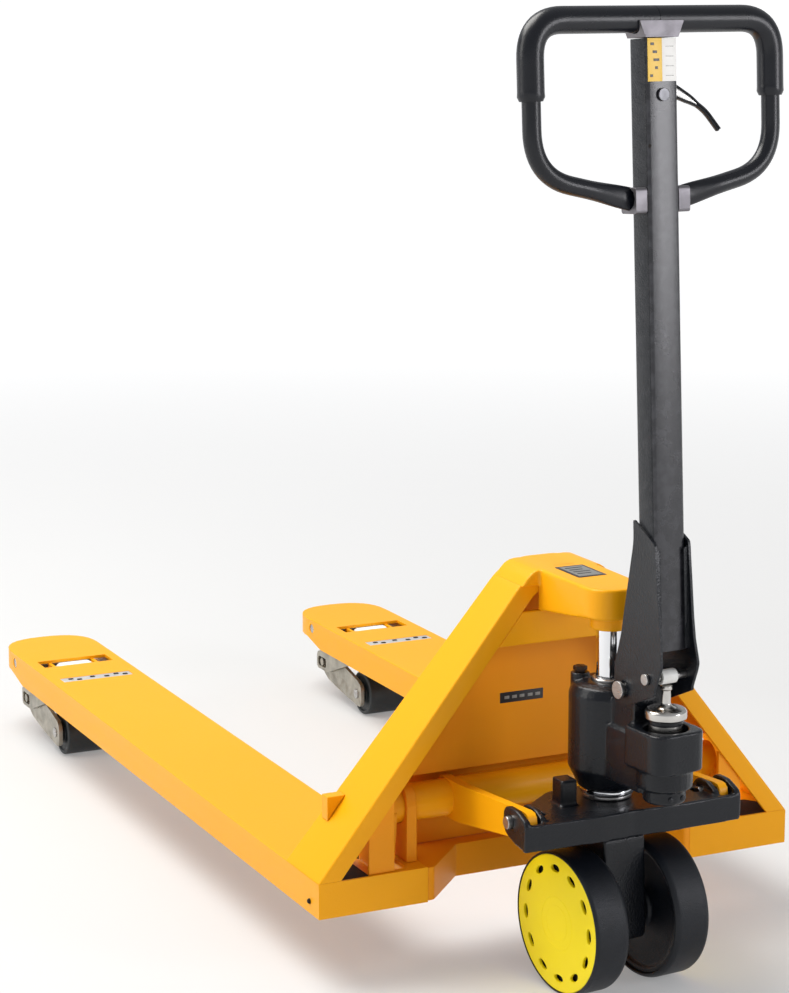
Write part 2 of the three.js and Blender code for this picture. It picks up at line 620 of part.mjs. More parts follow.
const ramGland = () =>
  ring('z', RAM_RADIUS + RUNNING, RAM_RADIUS + 4.7, PUMP_TOP - 6.7, PUMP_TOP + 3, [0, 0, 0]);

const lowerRace = () => ring('z', SPINDLE_RADIUS + RUNNING, 31, YOKE_TOP + GAP, 243.5, [0, 0, 0]);
const upperRace = () => ring('z', SPINDLE_RADIUS + GAP, 34, 243.8, PUMP_BOTTOM - GAP, [0, 0, 0]);
const ram = () => rod('z', RAM_RADIUS, RAM_BOTTOM, 495.5, [0, 0, 0], 32);

const fillerPlug = () => {
  const stem = rod('z', 6, PUMP_TOP - 6, PUMP_TOP + 8, [-24, 27, 0], 16);
  const headPiece = rod('z', 9, PUMP_TOP + 6.3, PUMP_TOP + 14, [-24, 27, 0], 6);
  return joined(stem, headPiece);
};

const wheelCarrier = () => {
  const cheek = plate('x', outline([
    [-48, 58, 16],
    [22, 58, 16],
    [34, 196, 8],
    [-40, 196, 8],
  ]), -30, 30);
  return cut(cheek,
    rod('z', SPINDLE_RADIUS + GAP, 165, 300, [0, 0, 0], 28),
    rod('x', AXLE_RADIUS + GAP, -50, 50, [0, -WHEEL_TRAIL, WHEEL_RADIUS]));
};

const wheelAxle = () => {
  const reach = WHEEL_GAP / 2 + WHEEL_WIDTH - 6;
  return rod('x', AXLE_RADIUS, -reach, reach, [0, -WHEEL_TRAIL, WHEEL_RADIUS]);
};

const wheelCentre = (side) => [side * (WHEEL_GAP + WHEEL_WIDTH) / 2, -WHEEL_TRAIL, WHEEL_RADIUS];

const tyre = (side) => {
  const half = WHEEL_WIDTH / 2;
  const radius = WHEEL_RADIUS;
  return turned('x', [
    [HUB_RADIUS + GAP, -half + 2], [HUB_RADIUS + 1.5, -half], [radius - 3, -half + 2.5], [radius, -half + 8],
    [radius, half - 8], [radius - 3, half - 2.5], [HUB_RADIUS + 1.5, half], [HUB_RADIUS + GAP, half - 2],
  ], wheelCentre(side), 32);
};

const hub = (side) => {
  const outerFace = side * (WHEEL_WIDTH / 2 - 1.5);
  const innerFace = -side * (WHEEL_WIDTH / 2 - 3.5);
  const webBack = outerFace - side * 9;
  return turned('x', [
    [HUB_RADIUS, innerFace], [HUB_RADIUS, outerFace - side * 1],
    [HUB_RADIUS - 1.5, outerFace], [24, outerFace],
    [18, outerFace - side * 4.5], [AXLE_RADIUS + 1.2, outerFace - side * 4.5],
    [AXLE_RADIUS + 1.2, innerFace], [22, innerFace], [22, webBack],
    [HUB_RADIUS - 8, webBack], [HUB_RADIUS - 8, innerFace],
  ], wheelCentre(side), 32);
};

const tillerPin = () => {
  const shank = rod('x', TILLER_PIN_RADIUS, -33, 33, [0, TILLER_PIVOT_Y, TILLER_PIVOT_Z]);
  const cap = rod('x', 11, -36.5, -32.5, [0, TILLER_PIVOT_Y, TILLER_PIVOT_Z]);
  return joined(shank, cap);
};

const plunger = () => turned('z', [
  [0, PLUNGER_LOW], [PLUNGER_RADIUS, PLUNGER_LOW], [PLUNGER_RADIUS, 366], [19.8, 366],
  [19.8, SKIRT_LOW], [21.5, SKIRT_LOW], [21.5, 366], [25.5, 368], [25.5, 377], [23, 379],
  [9, 379], [5.5, 384], [5.5, 402], [7.5, 403], [7.5, 407.5], [0, 408],
], [0, CYLINDER_Y, 0], 24);

// The return spring stands in the well, around the plunger and under its cap.
class Helix extends THREE.Curve {
  constructor(radius, low, high, turns) {
    super();
    Object.assign(this, { radius, low, high, turns });
  }

  getPoint(t, target = new THREE.Vector3()) {
    const angle = 2 * Math.PI * this.turns * t;
    return target.set(
      this.radius * Math.cos(angle),
      CYLINDER_Y + this.radius * Math.sin(angle),
      this.low + (this.high - this.low) * t,
    );
  }
}

const plungerSpring = () => along(new Helix(16.4, WELL_FLOOR + 2.6, 363, 5), disc(2.1), 50, 2);

// ---------------------------------------------------------------- tiller (drawn upright, then leaned)
const leanMatrix = () => {
  const matrix = new THREE.Matrix4().makeRotationX(-radians(TILLER_LEAN));
  return matrix;
};

// Places a piece drawn in the tiller's own frame: z along the tube, y across it, origin on its centre line.
const leaned = (piece) => {
  const matrix = leanMatrix().setPosition(0, TILLER_BASE_Y, TILLER_BASE_Z);
  return piece.transform(matrix.elements);
};

const tillerLocal = (y, z) => {
  const point = new THREE.Vector3(0, y - TILLER_BASE_Y, z - TILLER_BASE_Z);
  return point.applyMatrix4(leanMatrix().invert());
};

const tubeTop = () => (HANDLE_TOP - TILLER_BASE_Z) / Math.cos(radians(TILLER_LEAN)) - GRIP_RADIUS - 22;

const tillerBracket = () => {
  const pivot = tillerLocal(TILLER_PIVOT_Y, TILLER_PIVOT_Z);
  const press = tillerLocal(PRESS_ROLLER_Y, PRESS_ROLLER_Z);
  const half = LUG_HALF + GAP + 4;
  const wall = 3.5;
  const sideShape = outline([
    [-TUBE_DEPTH / 2 - 16, 4, 4],
    [-TUBE_DEPTH / 2 - 2, -26, 6],
    [press.y - 14, press.z - 18, 6],
    [pivot.y - 10, pivot.z - 19, 14],
    [pivot.y + 16, pivot.z - 16, 16],
    [pivot.y + 15, pivot.z + 26, 14],
    [TUBE_DEPTH / 2 + 4, 150, 10],
    [TUBE_DEPTH / 2 + 4, 176, 3],
    [-TUBE_DEPTH / 2 - 5, 150, 4],
    [-TUBE_DEPTH / 2 - 10, 60, 8],
  ]);
  const upperHalf = TUBE_WIDTH / 2 + wall + GAP;
  const cheek = (side) => {
    const flare = plate('y', outline([
      [side * (half - wall), -60],
      [side * half, -60],
      [side * half, -6],
      [side * upperHalf, 34],
      [side * upperHalf, 180],
      [side * (upperHalf - wall), 180],
      [side * (upperHalf - wall), 34],
      [side * (half - wall), -6],
    ]), -80, 100);
    return flare.intersect(plate('x', sideShape, -50, 50));
  };
  const backWall = plate('y', outline([
    [-upperHalf, 66], [upperHalf, 66], [upperHalf, 168, 6], [-upperHalf, 168, 6],
  ]), TUBE_DEPTH / 2 + GAP, TUBE_DEPTH / 2 + GAP + wall);
  const frontLip = (side) => plate('y', outline([
    [side * (upperHalf - 9), 22],
    [side * upperHalf, 22],
    [side * upperHalf, 146],
    [side * (upperHalf - 9), 142],
  ]), -TUBE_DEPTH / 2 - GAP - wall, -TUBE_DEPTH / 2 - GAP);
  const body = joined(cheek(-1), cheek(1), backWall, frontLip(-1), frontLip(1));
  const holes = [
    rod('x', TILLER_PIN_RADIUS + GAP, -60, 60, [0, pivot.y, pivot.z]),
    rod('x', 5 + GAP, -60, 60, [0, press.y, press.z], 16),
  ];
  return leaned(cut(body, ...holes));
};

const tillerTube = () => {
  const w = TUBE_WIDTH / 2;
  const d = TUBE_DEPTH / 2;
  const top = tubeTop();
  const shell = plate('z', outline([[-w, -d, 5], [w, -d, 5], [w, d, 5], [-w, d, 5]]), TUBE_LOW, top, 3);
  const bore = plate('z', outline([
    [-w + 3, -d + 3, 3], [w - 3, -d + 3, 3], [w - 3, d - 3, 3], [-w + 3, d - 3, 3],
  ]), TUBE_LOW - 1, top + 1, 3);
  const leverZ = loopCorners().top - LEVER_DROP;
  const leverSlot = block(w - 5, w + 5, -8, 8, leverZ - 22, leverZ + 24);
  const pinHole = rod('y', 4 + GAP, -40, 40, [0, 0, leverZ], 16);
  return leaned(cut(shell, bore, leverSlot, pinHole));
};

// The handle loop is one bent tube whose flattened ends are held in two clamps on the tiller tube.
const loopCorners = () => {
  const x = LOOP_WIDTH / 2 - GRIP_RADIUS;
  const top = (HANDLE_TOP - TILLER_BASE_Z) / Math.cos(radians(TILLER_LEAN)) - GRIP_RADIUS;
  return { x, top, shoulder: top - 174, foot: top - 205, end: TUBE_WIDTH / 2 + CLAMP_LENGTH - 6 };
};

// A path through the points in the loop's plane, with each inner corner bent from so far back.
const bentPath = (bends) => {
  const path = new THREE.CurvePath();
  const corners = bends.map(([x, z]) => new THREE.Vector3(x, 0, z));
  let from = corners[0];
  bends.slice(1, -1).forEach(([, , radius], i) => {
    const corner = corners[i + 1];
    const start = corner.clone().add(corners[i].clone().sub(corner).setLength(radius));
    const end = corner.clone().add(corners[i + 2].clone().sub(corner).setLength(radius));
    path.add(new THREE.LineCurve3(from, start));
    path.add(new THREE.QuadraticBezierCurve3(start, corner, end));
    from = end;
  });
  path.add(new THREE.LineCurve3(from, corners.at(-1)));
  return path;
};

const handleLoop = () => {
  const { x, top, shoulder, foot, end } = loopCorners();
  return leaned(along(bentPath([
    [end, foot, 0], [x, shoulder, LOWER_BEND], [x, top, UPPER_BEND],
    [-x, top, UPPER_BEND], [-x, shoulder, LOWER_BEND], [-end, foot, 0],
  ]), disc(LOOP_TUBE), 54, 4));
};

// A grip is a thick sleeve over half of the top bar and its corner.
const grip = (side) => {
  const { x, top } = loopCorners();
  const sleeve = disc(GRIP_RADIUS);
  sleeve.holes.push(new THREE.Path().absarc(0, 0, LOOP_TUBE + 2, 0, 2 * Math.PI));
  return leaned(along(bentPath([
    [side * GAP, top, 0], [side * x, top, UPPER_BEND], [side * x, top - GRIP_DROP, 0],
  ]), sleeve, 18, 4));
};

// The crown is a flared saddle that ties the tube's top end to the middle of the grips.
const crown = () => {
  const { top } = loopCorners();
  const depth = GRIP_RADIUS + 2.5;
  const body = plate('y', outline([
    [-23, top - 21], [23, top - 21], [31, top - 2, 2], [-31, top - 2, 2],
  ]), -depth, depth);
  return leaned(cut(body, rod('x', GRIP_RADIUS + GAP, -60, 60, [0, 0, top], 40)));
};

const clamp = (side) => {
  const { foot } = loopCorners();
  const start = TUBE_WIDTH / 2 + GAP;
  const low = Math.min(side * start, side * (start + CLAMP_LENGTH));
  const body = plate('x', outline([
    [-15, foot - 16, 4], [15, foot - 16, 4], [15, foot + 14, 4], [-15, foot + 14, 4],
  ]), low, low + CLAMP_LENGTH);
  const { x, shoulder, end } = loopCorners();
  const socket = along(new THREE.LineCurve3(
    new THREE.Vector3(side * (end - 1), 0, foot - 0.2),
    new THREE.Vector3(side * x, 0, shoulder),
  ), disc(LOOP_TUBE + 1.2), 1);
  return leaned(cut(body, socket));
};

// ---------------------------------------------------------------- release lever and control rod

const releaseLever = () => {
  const z = loopCorners().top - LEVER_DROP;
  const blade = plate('y', outline([
    [-CRANK - 5, z - 6, 4], [2, z - 9, 5], [40, z - 11], [62, z - 22, 10], [96, z - 44, 2],
    [101, z - 40, 2], [80, z - 16, 14], [52, z + 6, 10], [24, z + 13], [0, z + 9, 5], [-CRANK - 5, z + 6, 4],
  ]), -6, 6);
  return leaned(cut(blade,
    rod('y', 4 + GAP, -20, 20, [0, 0, z], 16),
    rod('y', 2.5, -20, 20, [-CRANK, 0, z], 16)));
};

const leverPin = () => {
  const z = loopCorners().top - LEVER_DROP;
  const shank = rod('y', 4, -TUBE_DEPTH / 2 - 2, TUBE_DEPTH / 2 + 2, [0, 0, z], 16);
  const cap = rod('y', 7.5, -TUBE_DEPTH / 2 - 3.5, -TUBE_DEPTH / 2 - GAP, [0, 0, z], 20);
  return leaned(joined(shank, cap));
};

const controlRod = () => {
  const z = loopCorners().top - LEVER_DROP;
  return leaned(rod('z', 3, TUBE_LOW + 26, z - 10, [-CRANK, 0, 0], 12));
};

const pressRollerPin = () => {
  const press = tillerLocal(PRESS_ROLLER_Y, PRESS_ROLLER_Z);
  const shank = rod('x', 5, -32, 32, [0, press.y, press.z], 16);
  const cap = rod('x', 7, -33.2, -29.8, [0, press.y, press.z], 16);
  return leaned(joined(shank, cap));
};

const pressRoller = () => {
  const press = tillerLocal(PRESS_ROLLER_Y, PRESS_ROLLER_Z);
  return leaned(ring('x', 5 + RUNNING, PRESS_ROLLER_RADIUS, -11, 11, [0, press.y, press.z], 24));
};

// ---------------------------------------------------------------- rollers in the forks
const loadRoller = (side) => {
  const half = LOAD_ROLLER_LENGTH / 2;
  return turned('x', [
    [8.5, -half], [LOAD_ROLLER_RADIUS - 3, -half], [LOAD_ROLLER_RADIUS, -half + 3],
    [LOAD_ROLLER_RADIUS, half - 3], [LOAD_ROLLER_RADIUS - 3, half], [8.5, half],
  ], [side * FORK_X, LOAD_ROLLER_Y, LOAD_ROLLER_RADIUS], 28);
};

const rollerAxle = (side) => rod('x', 8, -55.6, 55.6, [side * FORK_X, LOAD_ROLLER_Y, LOAD_ROLLER_RADIUS], 20);

const pivotPin = (side) => {
  const reach = FORK_WIDTH / 2;
  return rod('x', 8, -reach + 1, reach - 1, [side * FORK_X, BRACKET_PIVOT_Y, BRACKET_PIVOT_Z], 20);
};

// The entry roller is moulded on its own axle, whose ends turn in the hangers.
const entryRoller = (side) => turned('x', [
  [0, -42], [5, -42], [5, -29], [23, -29], [26, -25], [26, 25], [23, 29], [5, 29], [5, 42], [0, 42],
], [side * FORK_X, ENTRY_ROLLER_Y, ENTRY_ROLLER_Z]);

// ---------------------------------------------------------------- assembly
const truck = new THREE.Group();
const add = (group, name, piece, material) => group.add(mesh(name, piece, material));

const frameGroup = new THREE.Group();
const jack = new THREE.Group();
truck.add(frameGroup, jack);
jack.rotation.z = radians(STEER_TURN);

add(frameGroup, 'back_panel', backPanel(), PAINT.yellow());
add(frameGroup, 'yoke_plate', yokePlate(), PAINT.yellow());
add(frameGroup, 'head_casting', head(), PAINT.yellow());
add(frameGroup, 'bumper', bumper(), PAINT.yellow());
add(frameGroup, 'ram', ram(), PAINT.chrome());
add(frameGroup, 'torsion_shaft', torsionShaft(), PAINT.yellow());
add(frameGroup, 'yoke', yoke(), PAINT.black());
add(frameGroup, 'lower_race', lowerRace(), PAINT.steel());

Object.entries(SIDES).forEach(([name, side]) => {
  add(frameGroup, `${name}_fork`, fork(side), PAINT.yellow());
  add(frameGroup, `${name}_side_band`, sideBand(side), PAINT.yellow());
  add(frameGroup, `${name}_gusset`, gusset(side), PAINT.yellow());
  add(frameGroup, `${name}_pallet_stop`, palletStop(side), PAINT.yellow());
  add(frameGroup, `${name}_shaft_bearing`, shaftBearing(side), PAINT.yellow());
  add(frameGroup, `${name}_yoke_pin`, yokePin(side), PAINT.steel());
  add(frameGroup, `${name}_push_rod`, pushRod(side), PAINT.zinc());
  add(frameGroup, `${name}_roller_bracket`, rollerBracket(side), PAINT.zinc());
  add(frameGroup, `${name}_pivot_pin`, pivotPin(side), PAINT.steel());
  add(frameGroup, `${name}_roller_axle`, rollerAxle(side), PAINT.steel());
  add(frameGroup, `${name}_load_roller`, loadRoller(side), PAINT.rubber());
  add(frameGroup, `${name}_entry_roller`, entryRoller(side), PAINT.nylon());
  add(jack, `${name}_tyre`, tyre(side), PAINT.rubber());
  add(jack, `${name}_hub`, hub(side), PAINT.hub());
  add(jack, `${name}_grip`, grip(side), PAINT.grip());
  add(jack, `${name}_handle_clamp`, clamp(side), PAINT.alloy());
});

add(jack, 'upper_race', upperRace(), PAINT.steel());
add(jack, 'pump_body', pumpBody(), PAINT.black());
add(jack, 'ram_gland', ramGland(), PAINT.steel());
add(jack, 'filler_plug', fillerPlug(), PAINT.steel());
add(jack, 'wheel_carrier', wheelCarrier(), PAINT.black());
add(jack, 'wheel_axle', wheelAxle(), PAINT.steel());
add(jack, 'tiller_pin', tillerPin(), PAINT.steel());
add(jack, 'plunger', plunger(), PAINT.chrome());
add(jack, 'plunger_spring', plungerSpring(), PAINT.steel());
add(jack, 'tiller_bracket', tillerBracket(), PAINT.black());
add(jack, 'tiller_tube', tillerTube(), PAINT.black());
add(jack, 'handle_loop', handleLoop(), PAINT.grip());
add(jack, 'crown', crown(), PAINT.alloy());
add(jack, 'release_lever', releaseLever(), PAINT.black());
add(jack, 'lever_pin', leverPin(), PAINT.steel());
add(jack, 'control_rod', controlRod(), PAINT.steel());
add(jack, 'press_roller', pressRoller(), PAINT.nylon());
add(jack, 'press_roller_pin', pressRollerPin(), PAINT.steel());

// The origin is on the floor under the middle of the truck's length.
truck.updateMatrixWorld(true);
const extent = new THREE.Box3().setFromObject(truck, true);
truck.position.y = -(extent.min.y + extent.max.y) / 2;
truck.updateMatrixWorld(true);

export default truck;
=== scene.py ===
"""Looks for a hand pallet truck: enamelled frame and forks, a cast jack on two steer
wheels, and a tiller with a looped handle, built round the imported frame.

Places come from the frame, in metres. Outlines and profiles are drawn in millimetres and
scaled by MM when their mesh is made."""

import json
import math

import bmesh
import bpy
from mathutils import Matrix, Vector

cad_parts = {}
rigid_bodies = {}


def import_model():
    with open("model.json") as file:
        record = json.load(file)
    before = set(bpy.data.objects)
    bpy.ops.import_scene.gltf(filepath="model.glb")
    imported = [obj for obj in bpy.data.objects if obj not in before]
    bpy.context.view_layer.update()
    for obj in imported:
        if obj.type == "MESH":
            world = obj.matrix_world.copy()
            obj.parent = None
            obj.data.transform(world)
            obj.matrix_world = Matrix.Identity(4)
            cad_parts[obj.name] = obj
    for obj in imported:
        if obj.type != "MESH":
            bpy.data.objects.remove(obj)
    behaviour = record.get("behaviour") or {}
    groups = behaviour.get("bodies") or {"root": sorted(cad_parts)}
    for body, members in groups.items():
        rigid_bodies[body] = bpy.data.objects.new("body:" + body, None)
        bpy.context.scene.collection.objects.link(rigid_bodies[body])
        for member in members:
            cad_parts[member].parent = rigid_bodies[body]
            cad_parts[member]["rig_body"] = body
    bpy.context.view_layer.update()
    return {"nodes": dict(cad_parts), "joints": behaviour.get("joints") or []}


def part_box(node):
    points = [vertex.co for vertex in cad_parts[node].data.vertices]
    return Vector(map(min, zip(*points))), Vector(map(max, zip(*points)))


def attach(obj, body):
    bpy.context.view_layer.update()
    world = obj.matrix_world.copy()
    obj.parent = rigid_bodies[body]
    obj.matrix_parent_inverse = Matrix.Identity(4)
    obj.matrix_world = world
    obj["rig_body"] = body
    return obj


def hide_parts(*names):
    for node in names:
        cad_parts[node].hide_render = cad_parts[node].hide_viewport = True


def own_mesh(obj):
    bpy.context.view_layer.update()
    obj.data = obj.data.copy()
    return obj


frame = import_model()
joints = {joint["name"]: joint for joint in frame["joints"]}
MM = 0.001


# ---------------------------------------------------------------- places from the frame
def middle(node):
    low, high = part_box(node)
    return (low + high) / 2


def body_of(node):
    return frame["nodes"][node]["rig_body"]


def place(joint):
    return Vector(joints[joint]["pos_m"])


def basis(x_axis, z_axis, origin):
    """The matrix of a frame with these two axes, as nearly as they are square."""
    z = Vector(z_axis).normalized()
    y = z.cross(Vector(x_axis)).normalized()
    x = y.cross(z)
    return Matrix.Translation(origin) @ Matrix((x, y, z)).transposed().to_4x4()


def lifted(height):
    """A step up along Z, in metres."""
    return Matrix.Translation((0, 0, height))


AXLE_DIRECTION = Vector(joints["left_wheel_spin"]["axis"])
TUBE_DIRECTION = Vector(joints["control_rod_slide"]["axis"])
STEER_AXIS = middle("ram")
JACK = basis(AXLE_DIRECTION, (0, 0, 1), (STEER_AXIS.x, STEER_AXIS.y, 0))
TILLER = basis(AXLE_DIRECTION, TUBE_DIRECTION, place("lever_squeeze"))
SIDES = {"left": -1, "right": 1}
TO_FRONT = Matrix.Rotation(math.pi / 2, 4, "X")   # turns a flat plate's face from +Z to -Y
TO_UP = Matrix.Rotation(-math.pi / 2, 4, "Y")     # stands a lathe shape on its axis, +X to +Z


# ---------------------------------------------------------------- materials
DUST_COLOUR = (0.42, 0.37, 0.30, 1)
DUST_PATCH = 0.05
WEAR_PATCH = 0.012
SHARP_EDGE = (0.53, 0.6)    # Pointiness where wear starts and where it is full
FACES_UP = (0.6, 1.0)       # height of the normal where dust starts and where it is full
LEAST_ROUGHNESS = 0.03


def node_of(tree, kind, **settings):
    """A new node with its properties, or its inputs' values, set by name."""
    node = tree.nodes.new(kind)
    for key, value in settings.items():
        if hasattr(node, key):
            setattr(node, key, value)
        else:
            node.inputs[key.replace("_", " ")].default_value = value
    return node


def ramp(tree, source, stops):
    node = tree.nodes.new("ShaderNodeValToRGB")
    elements = node.color_ramp.elements
    for i, (at, value) in enumerate(stops):
        element = elements[i] if i < 2 else elements.new(at)
        element.position = at
        element.color = value if isinstance(value, tuple) else (value, value, value, 1)
    tree.links.new(source, node.inputs["Fac"])
    return node.outputs["Color"]


def mixed(tree, factor, first, second, blend="MIX"):
    node = tree.nodes.new("ShaderNodeMix")
    node.data_type = "RGBA"
    node.blend_type = blend
    for socket, value in zip((node.inputs["Factor"], node.inputs["A"], node.inputs["B"]),
                             (factor, first, second)):
        if hasattr(value, "is_output"):
            tree.links.new(value, socket)
        else:
            socket.default_value = value
    return node.outputs["Result"]


def surface(name, colour, roughness, metallic=0.0, coat=0.0, mottle=0.10, mottle_size=0.12,
            grain=0.05, grain_size=0.0015, worn=None, wear=0.0, dust=0.0, stretch=(1, 1, 1),
            gloss=0.06, coat_roughness=0.08, specular=0.5):
    """A material with cloudy colour, fine grain in bump and gloss, edges worn to another
    colour, and dust that settles on what faces up. Sizes are in metres."""
    made = bpy.data.materials.new(name)
    made.use_nodes = True
    tree = made.node_tree
    shader = tree.nodes["Principled BSDF"]
    shader.inputs["Metallic"].default_value = metallic
    shader.inputs["Coat Weight"].default_value = coat
    shader.inputs["Coat Roughness"].default_value = coat_roughness
    shader.inputs["Specular IOR Level"].default_value = specular
    where = node_of(tree, "ShaderNodeTexCoord")
    stretched = node_of(tree, "ShaderNodeMapping", Scale=stretch)
    tree.links.new(where.outputs["Object"], stretched.inputs["Vector"])

    def noise(size, detail=3.0, distortion=0.0):
        texture = node_of(tree, "ShaderNodeTexNoise", Scale=1 / size, Detail=detail,
                          Distortion=distortion)
        tree.links.new(stretched.outputs["Vector"], texture.inputs["Vector"])
        return texture.outputs["Fac"]

    cloud = noise(mottle_size, 5.0, 0.3)
    fine = noise(grain_size)
    full = (*colour, 1)
    darker = (*(c * (1 - 2.2 * mottle) for c in colour), 1)
    paint = ramp(tree, cloud, [(0.3, darker), (0.7, full)])
    if wear:
        geometry = tree.nodes.new("ShaderNodeNewGeometry")
        edge = ramp(tree, geometry.outputs["Pointiness"], zip(SHARP_EDGE, (0, wear)))
        patches = ramp(tree, noise(WEAR_PATCH, 6.0), [(0.42, 0), (0.62, 1)])
        patchy = mixed(tree, 1.0, edge, patches, "MULTIPLY")
        paint = mixed(tree, patchy, paint, (*worn, 1))
    if dust:
        geometry = tree.nodes.new("ShaderNodeNewGeometry")
        normal = node_of(tree, "ShaderNodeSeparateXYZ")
        tree.links.new(geometry.outputs["Normal"], normal.inputs["Vector"])
        upward = ramp(tree, normal.outputs["Z"], zip(FACES_UP, (0, dust)))
        patches = ramp(tree, noise(DUST_PATCH, 6.0), [(0.35, 0.2), (0.75, 1)])
        drift = mixed(tree, 1.0, upward, patches, "MULTIPLY")
        paint = mixed(tree, drift, paint, DUST_COLOUR)
    tree.links.new(paint, shader.inputs["Base Color"])
    low, high = max(roughness - gloss, LEAST_ROUGHNESS), min(roughness + gloss, 1)
    sheen = ramp(tree, cloud, [(0.25, high), (0.75, low)])
    tree.links.new(sheen, shader.inputs["Roughness"])
    bump = node_of(tree, "ShaderNodeBump", Strength=grain, Distance=grain_size)
    tree.links.new(fine, bump.inputs["Height"])
    tree.links.new(bump.outputs["Normal"], shader.inputs["Normal"])
    return made


YELLOW = surface("yellow_enamel", (0.93, 0.40, 0.003), 0.38, coat=0.05, mottle=0.012,
                 mottle_size=0.3, grain=0.10, grain_size=0.0022, dust=0.01, gloss=0.02,
                 specular=0.20)
# Painted shade: a more orange copy of the yellow enamel for the inner parts, standing in for the
# shade and warm bounce light among them.
YELLOW_PAINTED_SHADE = surface("yellow_enamel_painted_shade", (0.92, 0.335, 0.008), 0.42, coat=0.03,
                       mottle=0.02, mottle_size=0.3, grain=0.10, grain_size=0.0022,
                       gloss=0.02, specular=0.20)
BLACK = surface("black_enamel", (0.005, 0.0065, 0.010), 0.25, coat=0.1, mottle=0.10,
                grain=0.30, grain_size=0.0024, worn=(0.10, 0.10, 0.11), wear=0.25,
                dust=0.015, gloss=0.05, specular=0.3)
TILLER_BLACK = surface("tiller_enamel", (0.010, 0.010, 0.014), 0.28, coat=0.45, mottle=0.06,
                       grain=0.12, grain_size=0.0014, worn=(0.15, 0.15, 0.17), wear=0.3,
                       gloss=0.04, coat_roughness=0.24, specular=0.4)
CHROME = surface("chrome", (0.83, 0.84, 0.86), 0.08, metallic=1.0, mottle=0.02, grain=0.01,
                 gloss=0.03)
SATIN = surface("satin_chrome", (0.62, 0.60, 0.57), 0.24, metallic=1.0, mottle=0.05,
                mottle_size=0.02, grain=0.06, grain_size=0.0006, gloss=0.04)
STEEL = surface("turned_steel", (0.52, 0.51, 0.50), 0.30, metallic=1.0, mottle=0.10,
                mottle_size=0.03, grain=0.12, grain_size=0.0006, stretch=(1, 1, 6),
                worn=(0.7, 0.7, 0.7), wear=0.3)
ZINC = surface("zinc_plate", (0.50, 0.47, 0.40), 0.38, metallic=0.9, mottle=0.18,
               mottle_size=0.02, grain=0.15, grain_size=0.0012, worn=(0.22, 0.18, 0.13),
               wear=0.5)
BRIGHT_ZINC = surface("bright_zinc", (0.80, 0.79, 0.76), 0.34, metallic=0.5, mottle=0.08,
                      mottle_size=0.01, grain=0.12, grain_size=0.001)
HUB_YELLOW = surface("hub_plastic", (1.0, 0.80, 0.006), 0.38, coat=0.05, mottle=0.010,
                     grain=0.08, grain_size=0.0012, gloss=0.03, specular=0.25)
TYRE = surface("tyre_rubber", (0.007, 0.009, 0.014), 0.40, mottle=0.15, mottle_size=0.03,
               grain=0.40, grain_size=0.0012, worn=(0.04, 0.04, 0.045), wear=0.4,
               gloss=0.05, specular=0.35)
GRIP = surface("grip_rubber", (0.005, 0.006, 0.010), 0.28, coat=0.1, mottle=0.10, grain=0.22,
               grain_size=0.0010, specular=0.35)
DARK_STEEL = surface("dark_steel", (0.16, 0.16, 0.17), 0.36, metallic=0.8, mottle=0.10,
                     mottle_size=0.01, grain=0.15, grain_size=0.0008)
NYLON = surface("white_nylon", (0.86, 0.86, 0.83), 0.42, mottle=0.05, grain=0.08,
                grain_size=0.001, worn=(0.45, 0.42, 0.36), wear=0.5)
ALLOY = surface("cast_alloy", (0.21, 0.20, 0.215), 0.42, metallic=0.85, mottle=0.08,
                mottle_size=0.02, grain=0.2, grain_size=0.0012)
ROLLER = surface("roller_rubber", (0.012, 0.017, 0.020), 0.45, mottle=0.2, mottle_size=0.02,
                 grain=0.3, grain_size=0.0012)
PLUG_METAL = surface("plug_brass", (0.06, 0.035, 0.025), 0.4, metallic=0.8, mottle=0.2,
                     mottle_size=0.01, grain=0.2)
# A near-black brown for dark screws, bolts and the tube plug, also used as painted shade on the
# heel patches.
DARK_AND_PAINTED_SHADE = surface("dark_parts_and_painted_shade", (0.012, 0.007, 0.004), 0.8, mottle=0.1, grain=0.1)
PLATE_GREY = surface("plate_print_grey", (0.30, 0.30, 0.28), 0.35, metallic=0.4,
                     mottle=0.05, grain=0.04)
PLATE_DARK = surface("plate_print_dark", (0.02, 0.02, 0.022), 0.35, mottle=0.05, grain=0.04)
PRINT_WHITE = surface("sticker_white", (0.86, 0.84, 0.80), 0.4, mottle=0.03, grain=0.04)
PRINT_YELLOW = surface("sticker_yellow", (0.88, 0.55, 0.06), 0.4, mottle=0.03, grain=0.04)


# ---------------------------------------------------------------- shape helpers
CORNER_SHARE = 0.48     # a corner takes at most this share of a side, so two never meet
WELD = 1e-6
NO_LENGTH = 1e-7
CAD_WELD = 2e-5
CAD_FLAT = math.radians(0.5)
SMALL_EDGE = 0.16       # share of the bevel's width


def rounded(points, steps=5, closed=True):
    """The outline with each corner (a, b, radius) replaced by a smooth curve."""
    out = []
    count = len(points)
    for i, point in enumerate(points):
        corner = Vector(point[:2])
        radius = point[2] if len(point) > 2 else 0
        if not radius or (not closed and i in (0, count - 1)):
            out.append(corner)
            continue
        before = Vector(points[i - 1][:2]) - corner
        after = Vector(points[(i + 1) % count][:2]) - corner
        reach = min(radius, before.length * CORNER_SHARE, after.length * CORNER_SHARE)
        start = corner + before.normalized() * reach
        end = corner + after.normalized() * reach
        for k in range(steps + 1):
            t = k / steps
            out.append((1 - t) ** 2 * start + 2 * t * (1 - t) * corner + t ** 2 * end)
    return out


def ahead(path, i):
    """The direction of the path at its point i, not of unit length."""
    return path[min(i + 1, len(path) - 1)] - path[max(i - 1, 0)]


